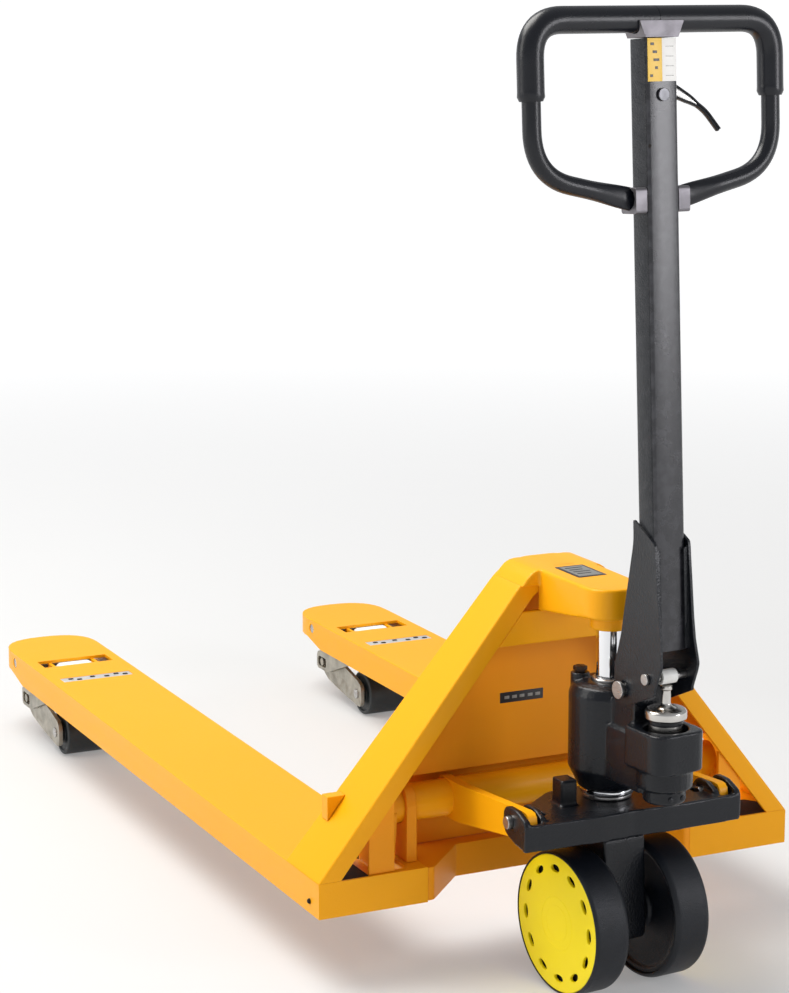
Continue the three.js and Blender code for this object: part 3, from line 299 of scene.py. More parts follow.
def grid_mesh(rings, closed_along=False):
    """A tube through closed rings of points, all of the same length. Its ends are closed by
    flat faces, unless its last ring joins its first."""
    bm = bmesh.new()
    made = [[bm.verts.new(p) for p in ring] for ring in rings]
    size = len(made[0])
    pairs = list(zip(made, made[1:])) + ([(made[-1], made[0])] if closed_along else [])
    for first, second in pairs:
        for i in range(size):
            j = (i + 1) % size
            bm.faces.new((first[i], first[j], second[j], second[i]))
    if not closed_along:
        bm.faces.new(list(reversed(made[0])))
        bm.faces.new(made[-1])
    bmesh.ops.recalc_face_normals(bm, faces=bm.faces)
    return bm


def turned(profile, segments):
    """A lathe shape about +X. The profile is [radius, x, corner radius] points."""
    points = rounded(profile, 4)
    rings = []
    for k in range(segments):
        angle = 2 * math.pi * k / segments
        across, up = math.cos(angle), math.sin(angle)
        rings.append([Vector((p.y, p.x * across, p.x * up)) * MM for p in points])
    bm = grid_mesh(rings, closed_along=True)
    bmesh.ops.remove_doubles(bm, verts=bm.verts, dist=WELD)
    bmesh.ops.dissolve_degenerate(bm, edges=bm.edges, dist=NO_LENGTH)
    return bm


def both_sides(near):
    """The whole profile of a lathe shape that is the same on both sides of x = 0."""
    return near + [[radius, -x, *corner] for radius, x, *corner in reversed(near)]


def flat_plate(outer, thickness, edge, holes=()):
    """A plate in the XY plane, from z = 0 down, with rounded edges and holes."""
    curve = bpy.data.curves.new("outline", "CURVE")
    curve.dimensions = "2D"
    curve.fill_mode = "BOTH"
    curve.extrude = (thickness / 2 - edge) * MM
    curve.bevel_depth = edge * MM
    curve.bevel_resolution = 2
    curve.offset = -edge * MM
    for outline in [outer, *holes]:
        points = rounded(outline)
        spline = curve.splines.new("POLY")
        spline.points.add(len(points) - 1)
        for target, point in zip(spline.points, points):
            target.co = (point.x * MM, point.y * MM, 0, 1)
        spline.use_cyclic_u = True
    holder = bpy.data.objects.new("outline", curve)
    bpy.context.scene.collection.objects.link(holder)
    bpy.context.view_layer.update()
    graph = bpy.context.evaluated_depsgraph_get()
    mesh = bpy.data.meshes.new_from_object(holder.evaluated_get(graph))
    bm = bmesh.new()
    bm.from_mesh(mesh)
    bpy.data.objects.remove(holder)
    bmesh.ops.remove_doubles(bm, verts=bm.verts, dist=WELD)
    bmesh.ops.translate(bm, verts=bm.verts, vec=(0, 0, -thickness / 2 * MM))
    return bm


def slab(left, low, right, high, thickness, edge, corner=0):
    """A rectangular flat plate."""
    corners = ((left, low), (right, low), (right, high), (left, high))
    return flat_plate([(x, y, corner) for x, y in corners], thickness, edge)


def merged(*parts):
    """One mesh of several, each with its own place and material number."""
    whole = bmesh.new()
    for part, matrix, slot in parts:
        bmesh.ops.transform(part, matrix=matrix, verts=part.verts)
        for face in part.faces:
            face.material_index = slot
        mesh = bpy.data.meshes.new("part")
        part.to_mesh(mesh)
        whole.from_mesh(mesh)
        bpy.data.meshes.remove(mesh)
    return whole


def piece(name, bm, materials, body, nodes=(), matrix=None, sharp=35):
    """Links the mesh as an object that rides on a body and stands for the CAD nodes."""
    if matrix is not None:
        bmesh.ops.transform(bm, matrix=matrix, verts=bm.verts)
    mesh = bpy.data.meshes.new(name)
    bm.to_mesh(mesh)
    bm.free()
    for material in materials if isinstance(materials, (list, tuple)) else [materials]:
        mesh.materials.append(material)
    for polygon in mesh.polygons:
        polygon.use_smooth = True
    mesh.set_sharp_from_angle(angle=math.radians(sharp))
    made = bpy.data.objects.new(name, mesh)
    bpy.context.scene.collection.objects.link(made)
    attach(made, body)
    if nodes:
        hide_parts(*nodes)
    return made


def from_cad(node):
    """A clean copy of a CAD node's mesh, with its flat faces whole."""
    bm = bmesh.new()
    bm.from_mesh(frame["nodes"][node].data)
    bmesh.ops.remove_doubles(bm, verts=bm.verts, dist=CAD_WELD)
    bmesh.ops.dissolve_limit(bm, angle_limit=CAD_FLAT, verts=bm.verts, edges=bm.edges)
    return bm


def softened(node, material, width=0.8, segments=2, sharp=33, large=None):
    """The CAD shape with its edges rounded. large(a, b) picks edges that get the whole
    width, where the others get a sixth of it."""
    bm = from_cad(node)
    if large:
        weight = bm.edges.layers.float.new("bevel_weight_edge")
        for edge in bm.edges:
            if len(edge.link_faces) == 2 and edge.calc_face_angle(0) > math.radians(sharp):
                edge[weight] = 1.0 if large(*(v.co for v in edge.verts)) else SMALL_EDGE
    made = piece(f"{node}_looks", bm, material, body_of(node), [node])
    bevel = made.modifiers.new("edges", "BEVEL")
    bevel.width = width * MM
    bevel.segments = segments
    bevel.limit_method = "WEIGHT" if large else "ANGLE"
    bevel.angle_limit = math.radians(sharp)
    bevel.harden_normals = True
    return made


def casting(node, material, voxel, smoothing):
    """The CAD shape with the soft edges of a casting."""
    made = piece(f"{node}_looks", from_cad(node), material, body_of(node), [node])
    skin = made.modifiers.new("skin", "REMESH")
    skin.mode = "VOXEL"
    skin.voxel_size = voxel * MM
    skin.use_smooth_shade = True
    soft = made.modifiers.new("soft", "SMOOTH")
    soft.iterations = smoothing
    soft.factor = 0.5
    return made


def cap_screw(across, height):
    """A hexagon head on a washer, pointing along +X."""
    rim, head = across * 0.72, across * 0.56
    washer = turned([[0.1, 0], [rim, 0, 0.3], [rim, 1.2, 0.5], [0.1, 1.2]], 32)
    hexagon = turned([[0.1, 1.0], [head, 1.0], [head, height, 0.9], [0.1, height]], 6)
    return merged((washer, Matrix(), 0), (hexagon, Matrix(), 0))


def rivet(radius, height):
    """A domed head, pointing along +X."""
    dome = [radius * 0.9, height * 0.6, radius * 0.3]
    return turned([[0.05, 0], [radius, 0], dome, [0.05, height]], 24)


# ---------------------------------------------------------------- frame and forks
FORK_LOW, FORK_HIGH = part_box("left_fork")
FORK_TOP = FORK_HIGH.z
HEEL_Y = FORK_LOW.y
HALF_TRUCK = -FORK_LOW.x
WINDOW_FROM_HEEL = 1041
WINDOW_Y = HEEL_Y / MM + WINDOW_FROM_HEEL
FORK_EDGE = 6.5
SAME_PLACE = 1e-4
FORK_RIM = 0.012            # an edge further in than this belongs to a window
FORK_TIP = 0.03
HEEL_SCREW = (0.028, 0.030) # back from the heel, down from the fork's top

ARCH_SLOPE = math.radians(51.5)
ARCH_CORNER = 34
ARCH_PLATE = 6.0
ARCH_FLANGE = 24.0

PLATE_BACK = 0.073          # the rating plate's middle, behind the steering axis
LABEL_X = -0.028
LABEL_Z = 0.325

BEAM_WALL = 6
BEAM_RECESS = 66
BEAM_OUTER = 184
BEAM_INNER = 120


def fork_looks(name):
    """A fork with a wide radius along its outer top edges, and the screw in its heel."""
    low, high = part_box(f"{name}_fork")

    def outer_top(a, b):
        on_top = abs(a.z - high.z) < SAME_PLACE and abs(b.z - high.z) < SAME_PLACE
        mid = (a + b) / 2
        inside = low.x + FORK_RIM < mid.x < high.x - FORK_RIM and mid.y < high.y - FORK_TIP
        return on_top and not inside

    softened(f"{name}_fork", YELLOW, FORK_EDGE, 3, large=outer_top)
    side = SIDES[name]
    back, down = HEEL_SCREW
    turn = Matrix.Rotation(math.pi if side < 0 else 0, 4, "Z")
    spot = Matrix.Translation((low.x if side < 0 else high.x, low.y + back, high.z - down))
    piece(f"{name}_heel_screw", cap_screw(5.0, 3.0), DARK_AND_PAINTED_SHADE, "chassis", matrix=spot @ turn)


def arch():
    """The sheet that climbs from the left fork, turns over the head and comes down to the
    right one, with a flange along its front edge."""
    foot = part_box("left_side_band")[0]
    top_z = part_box("head_casting")[1].z
    rear_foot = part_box("left_side_band")[1].y
    rear_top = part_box("head_casting")[1].y
    climb = (top_z - foot.z) / math.tan(ARCH_SLOPE)
    corner_x = HALF_TRUCK - climb
    path = rounded([
        (-HALF_TRUCK / MM, foot.z / MM), (-corner_x / MM, top_z / MM, ARCH_CORNER),
        (corner_x / MM, top_z / MM, ARCH_CORNER), (HALF_TRUCK / MM, foot.z / MM),
    ], 12, closed=False)
    front = HEEL_Y / MM
    lip = front + ARCH_PLATE
    rings = []
    for i, point in enumerate(path):
        step = ahead(path, i)
        inward = Vector((step.y, -step.x)).normalized()
        if i in (0, len(path) - 1):     # the feet are cut level
            inward = Vector((-math.copysign(1 / math.sin(ARCH_SLOPE), point.x), 0))
        share = (point.y * MM - foot.z) / (top_z - foot.z)
        rear = ((1 - share) * rear_foot + share * rear_top) / MM
        section = rounded([
            (0, rear), (0, front, 3.2), (ARCH_FLANGE, front, 1.0), (ARCH_FLANGE, lip, 1.0),
            (ARCH_PLATE, lip, 3), (ARCH_PLATE, rear),
        ], 4)
        rings.append([Vector((point.x + inward.x * p.x, p.y, point.y + inward.y * p.x)) * MM
                      for p in section])
    piece("frame_arch", grid_mesh(rings), YELLOW, "chassis",
          ["left_side_band", "right_side_band"])


def rating_plate():
    """A blank data plate on the head, with bars where its print would be."""
    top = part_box("head_casting")[1].z
    parts = [
        (slab(-20, -31, 20, 31, 0.8, 0.2, 2), Matrix(), 0),
        (slab(-16, -26, 16, 26, 0.6, 0.1), lifted(0.0003), 1),
    ]
    for k in range(4):
        row = 18 - 10.5 * k
        bar = slab(-12, row - 1.6, 12 - 5 * (k % 2), row + 1.6, 0.6, 0.1)
        parts.append((bar, lifted(0.0005), 0))
    spot = Matrix.Translation((0, STEER_AXIS.y + PLATE_BACK, top + 0.0004))
    piece("rating_plate", merged(*parts), [PLATE_DARK, PLATE_GREY], "chassis", matrix=spot)


def panel_label():
    """A small black label on the back panel, with five pale bars in place of print."""
    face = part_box("back_panel")[0].y
    parts = [(slab(-31.5, -7, 31.5, 7, 0.6, 0.15, 1), Matrix(), 0)]
    for x in (-25, -14, -3, 9, 20):
        parts.append((slab(x, -2, x + 7, 2, 0.4, 0.1), lifted(0.0002), 1))
    spot = Matrix.Translation((LABEL_X, face - 0.0001, LABEL_Z))
    piece("panel_label", merged(*parts), [PLATE_DARK, PLATE_GREY], "chassis",
          matrix=spot @ TO_FRONT)


def cross_beam():
    """The folded beam at the heel, which steps back behind the steer wheels."""
    low, high = (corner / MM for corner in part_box("bumper"))
    half = high.x

    def path(offset):
        front, back = low.y + offset, low.y + BEAM_RECESS + offset
        outer, inner = BEAM_OUTER - offset * 0.4, BEAM_INNER - offset * 0.4
        return [(-half, front), (-outer, front, 3), (-inner, back, 3),
                (inner, back, 3), (outer, front, 3), (half, front)]

    web = flat_plate([*path(0), *reversed(path(BEAM_WALL))], high.z - low.z, 1.4)
    shelf = flat_plate([*path(BEAM_WALL / 2), (half, high.y), (-half, high.y)], 5, 0.8)
    top = lifted(high.z * MM)
    # The beam takes the more orange copy of the enamel, painted shade.
    piece("bumper_looks", merged((web, top, 0), (shelf, top, 0)), YELLOW_PAINTED_SHADE, "chassis",
          ["bumper"])


def heel_painted_shade(name):
    """Painted shade: a dark patch laid on the fork's top, behind the foot of the arch, where the
    hollow under the arch lies in shadow.
    """
    outline = [(334, 3, 2), (273, 3, 2), (273, 60, 3), (314, 60, 3), (334, 34, 3)]
    side = SIDES[name]
    patch = flat_plate([(side * x, y, corner) for x, y, corner in outline], 0.6, 0.15)
    piece(f"{name}_heel_painted_shade", patch, DARK_AND_PAINTED_SHADE, "chassis",
          matrix=Matrix.Translation((0, HEEL_Y, FORK_TOP + 0.0005)))


def window_plate(name):
    """The bright plate in the fork's second window, with dark bolts that stand proud of it."""
    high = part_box(f"{name}_fork")[1].z / MM
    parts = [(slab(-57.5, -11.5, 57.5, 11.5, 2.4, 0.4), Matrix(), 0)]
    for x, y in ((-42, 3), (-30, -4), (-6, 3), (16, -3), (34, 4), (47, -3)):
        bolt = slab(-4, -3, 4, 3, 1.6, 0.4, 2)
        parts.append((bolt, Matrix.Translation((x * MM, y * MM, 0.9 * MM)), 1))
    centre = Vector((middle(f"{name}_fork").x / MM, WINDOW_Y, high - 0.4)) * MM
    piece(f"{name}_window_plate", merged(*parts), [BRIGHT_ZINC, DARK_AND_PAINTED_SHADE], "chassis",
          matrix=Matrix.Translation(centre))


def frame_looks():
    arch()
    casting("head_casting", YELLOW, 1.9, 7)
    rating_plate()
    panel_label()
    # The back panel takes the more orange copy of the enamel, painted shade.
    softened("back_panel", YELLOW_PAINTED_SHADE, 1.2)
    softened("yoke_plate", YELLOW, 2.0, 3)
    cross_beam()
    softened("torsion_shaft", YELLOW, 1.5, 2, 40)
    for name in SIDES:
        fork_looks(name)
        # Painted shade on the fork's top, behind the foot of the arch.
        heel_painted_shade(name)
        # The gussets and shaft bearings take the more orange copy of the enamel, painted shade.
        softened(f"{name}_gusset", YELLOW_PAINTED_SHADE, 1.0)
        softened(f"{name}_pallet_stop", YELLOW, 1.2)
        softened(f"{name}_shaft_bearing", YELLOW_PAINTED_SHADE, 1.2, 2, 40)
        softened(f"{name}_push_rod", ZINC, 1.0, 2, 40)
        window_plate(name)
        softened(f"{name}_roller_bracket", ZINC, 0.8, 2, 40)
        softened(f"{name}_pivot_pin", STEEL, 0.8, 2, 40)
        softened(f"{name}_roller_axle", STEEL, 0.8, 2, 40)
        softened(f"{name}_yoke_pin", STEEL, 1.2, 2, 40)


# ---------------------------------------------------------------- rollers under the tips
def roller(node, near, segments, material):
    """A roller in the place of a CAD node, from the profile of its left half."""
    piece(f"{node}_looks", turned(both_sides(near), segments), material, node, [node],
          matrix=Matrix.Translation(middle(node)))


def load_rollers():
    for name in SIDES:
        low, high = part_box(f"{name}_load_roller")
        radius = (high.z - low.z) / 2 / MM
        half = (high.x - low.x) / 2 / MM
        near = [[9, -half], [16, -half, 1], [18, -half + 3, 2], [radius - 8, -half + 3, 2],
                [radius - 6, -half, 1.5], [radius, -half + 1, 4]]
        roller(f"{name}_load_roller", near, 72, ROLLER)
        low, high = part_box(f"{name}_entry_roller")
        radius = (high.z - low.z) / 2 / MM
        near = [[0.05, -42], [5, -42, 0.6], [5, -29], [22, -29, 2], [radius, -24, 3]]
        roller(f"{name}_entry_roller", near, 56, NYLON)


# ---------------------------------------------------------------- steer wheels
WHEEL_RADIUS = 90.0
WHEEL_HALF = 25.0
HUB_RADIUS = 86.3
HUB_FACE_X = 0.024
HUB_FACE_THICKNESS = 4.6
HOLES = 12
HOLE_PITCH = 70.0
HOLE_PHASE = 0.15
HOLE_HALF_HEIGHT = 4.6
HOLE_HALF_LENGTH = 9.5


def turns(count):
    """The angles of count equal steps round a circle."""
    return [2 * math.pi * k / count for k in range(count)]


def hub_face():
    """The moulded disc with its ring of oval holes."""
    holes = []
    for k in range(HOLES):
        middle_angle = 2 * math.pi * (k + HOLE_PHASE) / HOLES
        outline = []
        for turn in turns(16):
            radial = HOLE_PITCH + HOLE_HALF_HEIGHT * math.cos(turn)
            around = middle_angle + HOLE_HALF_LENGTH * math.sin(turn) / HOLE_PITCH
            outline.append((radial * math.cos(around), radial * math.sin(around)))
        holes.append(outline)
    rim = [(HUB_RADIUS * math.cos(turn), HUB_RADIUS * math.sin(turn)) for turn in turns(96)]
    return flat_plate(rim, HUB_FACE_THICKNESS, 1.0, holes)


def wheel(name, side):
    """A tyre, and a hub with a dark web inside and a yellow face and cap outside."""
    centre = place(f"{name}_wheel_spin")
    outward = JACK.to_3x3() @ Vector((side, 0, 0))
    seat = basis(outward, (0, 0, 1), centre)
    tread = [
        [HUB_RADIUS - 3, -WHEEL_HALF + 3], [HUB_RADIUS - 2, -WHEEL_HALF, 1],
        [WHEEL_RADIUS - 3, -WHEEL_HALF + 1, 2], [WHEEL_RADIUS, -WHEEL_HALF + 6, 4],
        [WHEEL_RADIUS, WHEEL_HALF - 4, 3], [WHEEL_RADIUS - 1.5, WHEEL_HALF - 0.6, 1],
        [HUB_RADIUS + 0.3, WHEEL_HALF, 0.6], [HUB_RADIUS + 0.3, WHEEL_HALF - 6],
        [HUB_RADIUS - 3, WHEEL_HALF - 7],
    ]
    piece(f"{name}_tyre_looks", turned(tread, 144), TYRE, f"{name}_wheel", [f"{name}_tyre"],
          matrix=seat)
    web = [
        [10.6, -22, 1], [24, -22, 2], [26, -17, 3], [HUB_RADIUS - 12, -17, 3],
        [HUB_RADIUS - 8, -21, 2], [HUB_RADIUS - 3.3, -21, 0.5], [HUB_RADIUS - 3.3, 17],
        [10.6, 17],
    ]
    cap = [
        [0.05, 22.5], [34, 22.5], [34, 24.25, 0.5], [32.8, 24.25, 0.4], [32.8, 24.02],
        [23, 24.02], [23, 24.25, 0.4], [22, 24.25, 0.4], [22, 24.05], [0.05, 24.05],
    ]
    face_to_x = Matrix.Translation((HUB_FACE_X, 0, 0)) @ Matrix.Rotation(math.pi / 2, 4, "Y")
    parts = merged(
        (hub_face(), face_to_x, 0), (turned(web, 96), Matrix(), 1), (turned(cap, 72), Matrix(), 0),
    )
    piece(f"{name}_hub_looks", parts, [HUB_YELLOW, TYRE], f"{name}_wheel", [f"{name}_hub"],
          matrix=seat, sharp=14)


# ---------------------------------------------------------------- jack
SPRING_WIRE = 2.1
SPRING_TURNS = 5.0
SPRING_STEPS = 24


def stood(node, profile, material, segments):
    """A lathe shape in the place of a CAD node, measured up from the node's foot."""
    centre = middle(node)
    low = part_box(node)[0].z
    piece(f"{node}_looks", turned(profile, segments), material, body_of(node), [node],
          matrix=Matrix.Translation((centre.x, centre.y, low)) @ TO_UP)


def ram():
    """The chrome ram, its gland, and the two races that the jack steers on."""
    length = (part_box("ram")[1].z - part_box("ram")[0].z) / MM
    stood("ram", [[0.05, 0], [16, 0, 1], [16, length], [0.05, length]], CHROME, 96)
    lower = [[25.6, 0], [30, 0, 1.2], [31, 1.5, 1], [31, 4.2, 1], [30, 5.2, 1], [25.6, 5.2]]
    stood("lower_race", lower, STEEL, 96)
    upper = [[25.6, 0], [32.6, 0, 1.4], [34, 2, 1.5], [34, 6.4, 1.5], [32.6, 7.9, 1.5],
             [25.6, 7.9]]
    stood("upper_race", upper, CHROME, 96)
    gland = [[16.5, 0], [20.6, 0, 0.5], [20.6, 8.4, 1.2], [18.5, 9.7, 0.8], [16.5, 9.7, 0.4]]
    stood("ram_gland", gland, STEEL, 72)


def plunger():
    """A thin shank hidden in the pump, under a cap that holds the spring and a round head."""
    cap = [
        [0.05, 3], [6.5, 3, 1], [6.5, 58], [19.6, 58], [19.6, 33], [21.5, 33, 0.6],
        [21.5, 38, 0.8], [20, 39.5, 0.4], [20, 57, 0.5], [25.2, 59.5, 1.2],
        [25.2, 68.5, 1.5], [22.5, 71, 1.2], [12, 71, 1], [8.5, 73, 2], [5.4, 76.5, 2],
        [5.4, 93.5, 1], [7.5, 94.7, 0.8], [7.5, 99, 0.8], [5, 99.8, 1], [0.05, 100],
    ]
    stood("plunger", cap, SATIN, 96)
    sleeve = turned([[20.1, 52], [20.6, 52, 0.2], [20.6, 57.5, 0.2], [20.1, 57.5]], 64)
    seat = Vector((middle("plunger").x, middle("plunger").y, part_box("plunger")[0].z))
    piece("plunger_sleeve", sleeve, BLACK, "plunger", matrix=Matrix.Translation(seat) @ TO_UP)


def spring():
    """The wire round the plunger, a helix of round section that fills the CAD spring's box."""
    low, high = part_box("plunger_spring")
    centre = (low + high) / 2
    radius = (high.x - low.x) / 2 / MM - SPRING_WIRE
    height = (high.z - low.z) / MM - 2 * SPRING_WIRE
    rings = []
    count = int(SPRING_TURNS * SPRING_STEPS)
    for k in range(count + 1):
        t = k / count
        angle = 2 * math.pi * SPRING_TURNS * t
        out = Vector((math.cos(angle), math.sin(angle), 0))
        point = out * radius + Vector((0, 0, SPRING_WIRE + height * t))
        rings.append([
            (point + (out * math.cos(a) + Vector((0, 0, 1)) * math.sin(a)) * SPRING_WIRE) * MM
            for a in turns(12)
        ])
    made = piece("plunger_spring_looks", grid_mesh(rings), STEEL, "pump", ["plunger_spring"],
                 matrix=Matrix.Translation((centre.x, centre.y, low.z)))
    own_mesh(made)


def barrel_plugs():
    """Two plugs low on the pump's barrel, in the jack's own frame."""
    for i, x in enumerate((-8, 9)):
        turn = basis((0, -1, 0), (0, 0, 1), Vector((x, -145.0, 272.5)) * MM)
        piece(f"barrel_plug_{i}", rivet(3.4, 1.8), BLACK, "pump", matrix=JACK @ turn)


def jack_looks():
    casting("pump_body", BLACK, 1.6, 4)
    casting("yoke", BLACK, 1.8, 5)
    casting("wheel_carrier", BLACK, 1.8, 5)
    ram()
    plunger()
    stood("filler_plug", [[0.05, 0], [6, 0], [6, 14], [8.8, 14, 0.6], [8.8, 19.4, 1.2], [0.05, 20]],
          PLUG_METAL, 6)
    spring()
    softened("tiller_pin", STEEL, 0.7, 2, 40)
    softened("wheel_axle", STEEL, 0.7, 2, 40)
    barrel_plugs()


# ------------------------------------------- tiller, in millimetres from the lever's pivot
BAR_HEIGHT = 86.0           # the middle of the loop's top bar
LOOP_HALF = 168.5
SHOULDER = BAR_HEIGHT - 174
FOOT = BAR_HEIGHT - 205
LOOP_END = 32.0
TOP_BEND = 48
SHOULDER_BEND = 52
LOOP_STEP = 6
GRIP_STEP = 5
GRIP_REACH = 90
GRIP_RADIUS = 15.7
GRIP_LIP = 0.35
GRIP_END_RADIUS = 13.6
TUBE_HALF_DEPTH = 17.0
LEVER_ELBOW = 0.62          # share of the lever's length
# How squarely a tube face must face sideways to take the darker black, painted shade.
PAINTED_SHADE_SIDE_FACING = 0.9
ACROSS_LOOP = Vector((0, 1, 0))    # square to the handle's plane


def bent(corners, steps=14):
    """A path in the handle's plane with its corners bent."""
    return [Vector((p.x, 0, p.y)) for p in rounded(corners, steps, closed=False)]


def swept(path, section, sides=28):
    """A tube along a path in the XZ plane. section(i, count) gives its half sizes across
    and in the plane, in millimetres."""
    rings = []
    for i, point in enumerate(path):
        aside = ahead(path, i).normalized().cross(ACROSS_LOOP)
        deep, wide = section(i, len(path))
        rings.append([
            (point + ACROSS_LOOP * deep * math.cos(a) + aside * wide * math.sin(a)) * MM
            for a in turns(sides)
        ])
    return grid_mesh(rings)


def spaced(path, step):
    """The same path with a point about every step millimetres."""
    out = [path[0]]
    for point in path[1:]:
        gap = point - out[-1]
        count = max(1, round(gap.length / step))
        start = out[-1]
        out += [start + gap * (k / count) for k in range(1, count + 1)]
    return out


def loop():
    """The bent bar of the handle, which flattens towards its two ends."""
    path = spaced(bent([
        (LOOP_END, FOOT), (LOOP_HALF, SHOULDER, SHOULDER_BEND), (LOOP_HALF, BAR_HEIGHT, TOP_BEND),
        (-LOOP_HALF, BAR_HEIGHT, TOP_BEND), (-LOOP_HALF, SHOULDER, SHOULDER_BEND),
        (-LOOP_END, FOOT),
    ]), LOOP_STEP)

    def flattened(i, count):
        from_end = min(i, count - 1 - i) * LOOP_STEP
        t = min(1, max(0, (from_end - 8) / 60))
        t = t * t * (3 - 2 * t)
        return 5.5 + 5.5 * t, 13.5 - 2.5 * t

    piece("handle_loop_looks", swept(path, flattened), GRIP, "tiller", ["handle_loop"],
          matrix=TILLER)


def grip(name, side):
    """A moulded sleeve from the middle of the top bar, round its corner, to a raised lip."""
    path = spaced(bent([
        (0.3 * side, BAR_HEIGHT), (side * LOOP_HALF, BAR_HEIGHT, TOP_BEND),
        (side * LOOP_HALF, BAR_HEIGHT - GRIP_REACH),
    ]), GRIP_STEP)

    def swollen(i, count):
        from_end = (count - 1 - i) * GRIP_STEP
        radius = GRIP_RADIUS + (GRIP_LIP if from_end < 6 else 0)
        if from_end < 2:
            radius = GRIP_END_RADIUS
        return radius, radius

    piece(f"{name}_grip_looks", swept(path, swollen, 36), GRIP, "tiller", [f"{name}_grip"],
          matrix=TILLER)


def sticker():
    """The operating sticker: a yellow half and a white half with plain marks."""
    low, high = 15, 70
    parts = [
        (slab(-20, low, 0, high - 6, 0.4, 0.1), Matrix(), 0),
        (slab(0.1, low, 20, high - 6, 0.4, 0.1), Matrix(), 1),
        (slab(-20, high - 5, 20, high, 0.4, 0.1), Matrix(), 3),
    ]
    up = lifted(0.0002)
    for row, (x, width) in enumerate(((-16, 5), (-13, 6), (-12, 8), (-10, 4), (-17, 4))):
        z = high - 14 - row * 9
        parts.append((slab(x, z, x + width, z + 3, 0.4, 0.1), up, 2))
    for row in range(4):
        z = high - 16 - row * 11
        parts.append((slab(5, z, 16, z + 0.8, 0.4, 0.1), up, 3))
    on_face = Matrix.Translation((0, -(TUBE_HALF_DEPTH + 0.2) * MM, 0))
    piece("tiller_sticker", merged(*parts), [PRINT_YELLOW, PRINT_WHITE, PLATE_DARK, PLATE_GREY],
          "tiller", matrix=TILLER @ (on_face @ TO_FRONT))


def squeeze_lever():
    """A pressed lever: a pale web between two dark flanges, which narrows to its elbow and
    goes on as a thin finger piece."""
    corners = [(-14, 4), (17, 9, 12), (55, -9, 16), (72, -20, 12), (91, -42)]
    path = spaced(bent(corners, 8), 4)

    def height(t):
        return 11.0 - 8.0 * min(1, t / LEVER_ELBOW) ** 1.3

    def web(i, count):
        t = i / (count - 1)
        end = 0.6 if i in (0, count - 1) else 1.0
        return 2.4 * end, (height(t) - 0.6) * end

    def flange(i, count):
        return 5.2 - 1.6 * i / count, 1.9

    parts = [(swept(path, web, 16), Matrix(), 1)]
    for side in (-1, 1):
        edge = []
        for i, point in enumerate(path):
            aside = ahead(path, i).normalized().cross(ACROSS_LOOP)
            edge.append(point + aside * side * (height(i / (len(path) - 1)) - 1.6))
        parts.append((swept(edge, flange, 14), Matrix(), 0))
    piece("release_lever_looks", merged(*parts), [BLACK, BRIGHT_ZINC], "release_lever",
          ["release_lever"], matrix=TILLER)


def tube():
    """The tiller's square tube. Its two side faces are a deeper black than the others: painted
    shade, the plainer black enamel in place of the glossier one.
    """
    made = softened("tiller_tube", TILLER_BLACK, 0.5, 2, 50)
    made.data.materials.append(BLACK)
    # Painted shade: the side faces take the darker black enamel.
    for polygon in made.data.polygons:
        if abs(polygon.normal.dot(AXLE_DIRECTION)) > PAINTED_SHADE_SIDE_FACING:
            polygon.material_index = 1


def tube_plug():
    """A small dark plug in the tube's front face."""
    spot = Matrix.Translation(Vector((-19, -TUBE_HALF_DEPTH, -58)) * MM)
    outward = Matrix.Rotation(-math.pi / 2, 4, "Z")
    piece("tube_plug", rivet(2.2, 0.9), DARK_AND_PAINTED_SHADE, "tiller", matrix=TILLER @ spot @ outward)


def tiller_looks():
    loop()
    for name, side in SIDES.items():
        grip(name, side)
        softened(f"{name}_handle_clamp", ALLOY, 1.6, 3, 40)
    sticker()
    tube()
    softened("tiller_bracket", BLACK, 0.9, 2, 30)
    softened("crown", ALLOY, 1.2, 3, 40)
    squeeze_lever()
    softened("control_rod", STEEL, 0.4, 2, 40)
    softened("lever_pin", DARK_STEEL, 0.6, 2, 40)
    tube_plug()
    softened("press_roller", NYLON, 1.0, 2, 40)
    softened("press_roller_pin", STEEL, 0.8, 2, 40)


# ---------------------------------------------------------------- studio
FLOOR_HALF = 400.0
FLOOR_GLOW = {"From_Min": 1.0, "From_Max": 5.5, "To_Min": 0.24, "To_Max": 0.80}
SKY_COLOUR = (0.95, 0.97, 1.0, 1)
SKY_FADE = {"From_Min": 0.0, "From_Max": 0.12, "To_Min": 1.0, "To_Max": 0.45}
LIT_SPOT = Vector((0, -0.3, 0.4))
LAMPS = (   # name, place, size, watts, colour
    ("top_light", (-1.2, 0.7, 3.4), (2.4, 2.4), 150, (1, 0.98, 0.94)),
    ("left_light", (-3.4, 0.5, 2.0), (1.2, 1.6), 26, (1, 0.97, 0.92)),
    ("tube_light", (1.93, -3.0, 1.35), (0.8, 1.2), 27, (0.97, 0.96, 1)),
)
LENS = 94.12
VIEW_FROM_JACK = (-1.5711, -2.6686)
VIEW_HEIGHT = 1.2326
VIEW_DOWN = 11.32
VIEW_TURN = -25.61


def floor_paint():
    """Pale paint that glows more with distance, so that the floor fades to white."""
    pale = surface("floor_paint", (0.50, 0.50, 0.50), 0.8, mottle=0.01, mottle_size=1.5,
                   grain=0.02, grain_size=0.01)
    tree = pale.node_tree
    shader = tree.nodes["Principled BSDF"]
    shader.inputs["Emission Color"].default_value = (1, 1, 1, 1)
    where = node_of(tree, "ShaderNodeTexCoord")
    reach = node_of(tree, "ShaderNodeVectorMath", operation="LENGTH")
    glow = node_of(tree, "ShaderNodeMapRange", **FLOOR_GLOW)
    tree.links.new(where.outputs["Object"], reach.inputs[0])
    tree.links.new(reach.outputs["Value"], glow.inputs["Value"])
    tree.links.new(glow.outputs["Result"], shader.inputs["Emission Strength"])
    return pale


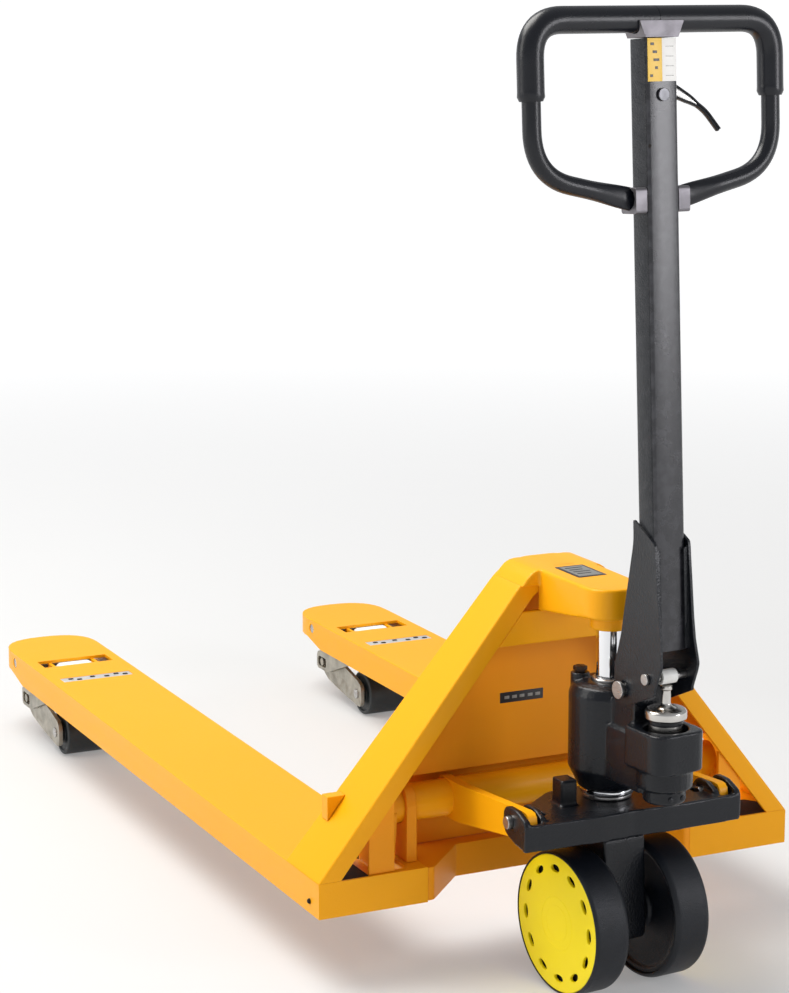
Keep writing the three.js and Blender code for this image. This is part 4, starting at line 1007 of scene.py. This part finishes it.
def studio_floor():
    corners = [(x * FLOOR_HALF, y * FLOOR_HALF, 0) for x, y in ((-1, -1), (1, -1), (1, 1), (-1, 1))]
    mesh = bpy.data.meshes.new("floor")
    mesh.from_pydata(corners, [], [(0, 1, 2, 3)])
    mesh.materials.append(floor_paint())
    floor = bpy.data.objects.new("floor", mesh)
    bpy.context.scene.collection.objects.link(floor)


def sky():
    """A pale sky, brightest at the horizon, where it meets the floor."""
    world = bpy.data.worlds.new("studio")
    world.use_nodes = True
    tree = world.node_tree
    tree.nodes["Background"].inputs["Color"].default_value = SKY_COLOUR
    direction = node_of(tree, "ShaderNodeTexCoord")
    height = node_of(tree, "ShaderNodeSeparateXYZ")
    fade = node_of(tree, "ShaderNodeMapRange", **SKY_FADE)
    tree.links.new(direction.outputs["Generated"], height.inputs[0])
    tree.links.new(height.outputs["Z"], fade.inputs["Value"])
    tree.links.new(fade.outputs["Result"], tree.nodes["Background"].inputs["Strength"])
    bpy.context.scene.world = world


def lamps():
    for name, spot, size, power, colour in LAMPS:
        lamp = bpy.data.lights.new(name, "AREA")
        lamp.shape = "RECTANGLE"
        lamp.size, lamp.size_y = size
        lamp.energy = power
        lamp.color = colour
        holder = bpy.data.objects.new(name, lamp)
        holder.location = spot
        holder.rotation_euler = (LIT_SPOT - Vector(spot)).to_track_quat("-Z", "Y").to_euler()
        bpy.context.scene.collection.objects.link(holder)


def camera():
    """The photograph's viewpoint: in front of the handle and to its left, 3.1 m from the
    jack and 1.23 m up."""
    lens = bpy.data.cameras.new("view")
    lens.sensor_width = 36
    lens.lens = LENS
    lens.clip_end = 1500
    holder = bpy.data.objects.new("view", lens)
    x, y = VIEW_FROM_JACK
    holder.location = (x, STEER_AXIS.y + y, VIEW_HEIGHT)
    holder.rotation_euler = (math.radians(90 - VIEW_DOWN), 0, math.radians(VIEW_TURN))
    bpy.context.scene.collection.objects.link(holder)
    bpy.context.scene.camera = holder


# ---------------------------------------------------------------- the model
camera()
studio_floor()
sky()
lamps()
frame_looks()
load_rollers()
for wheel_name, wheel_side in SIDES.items():
    wheel(wheel_name, wheel_side)
jack_looks()
tiller_looks()
bpy.context.scene.view_settings.view_transform = "Standard"
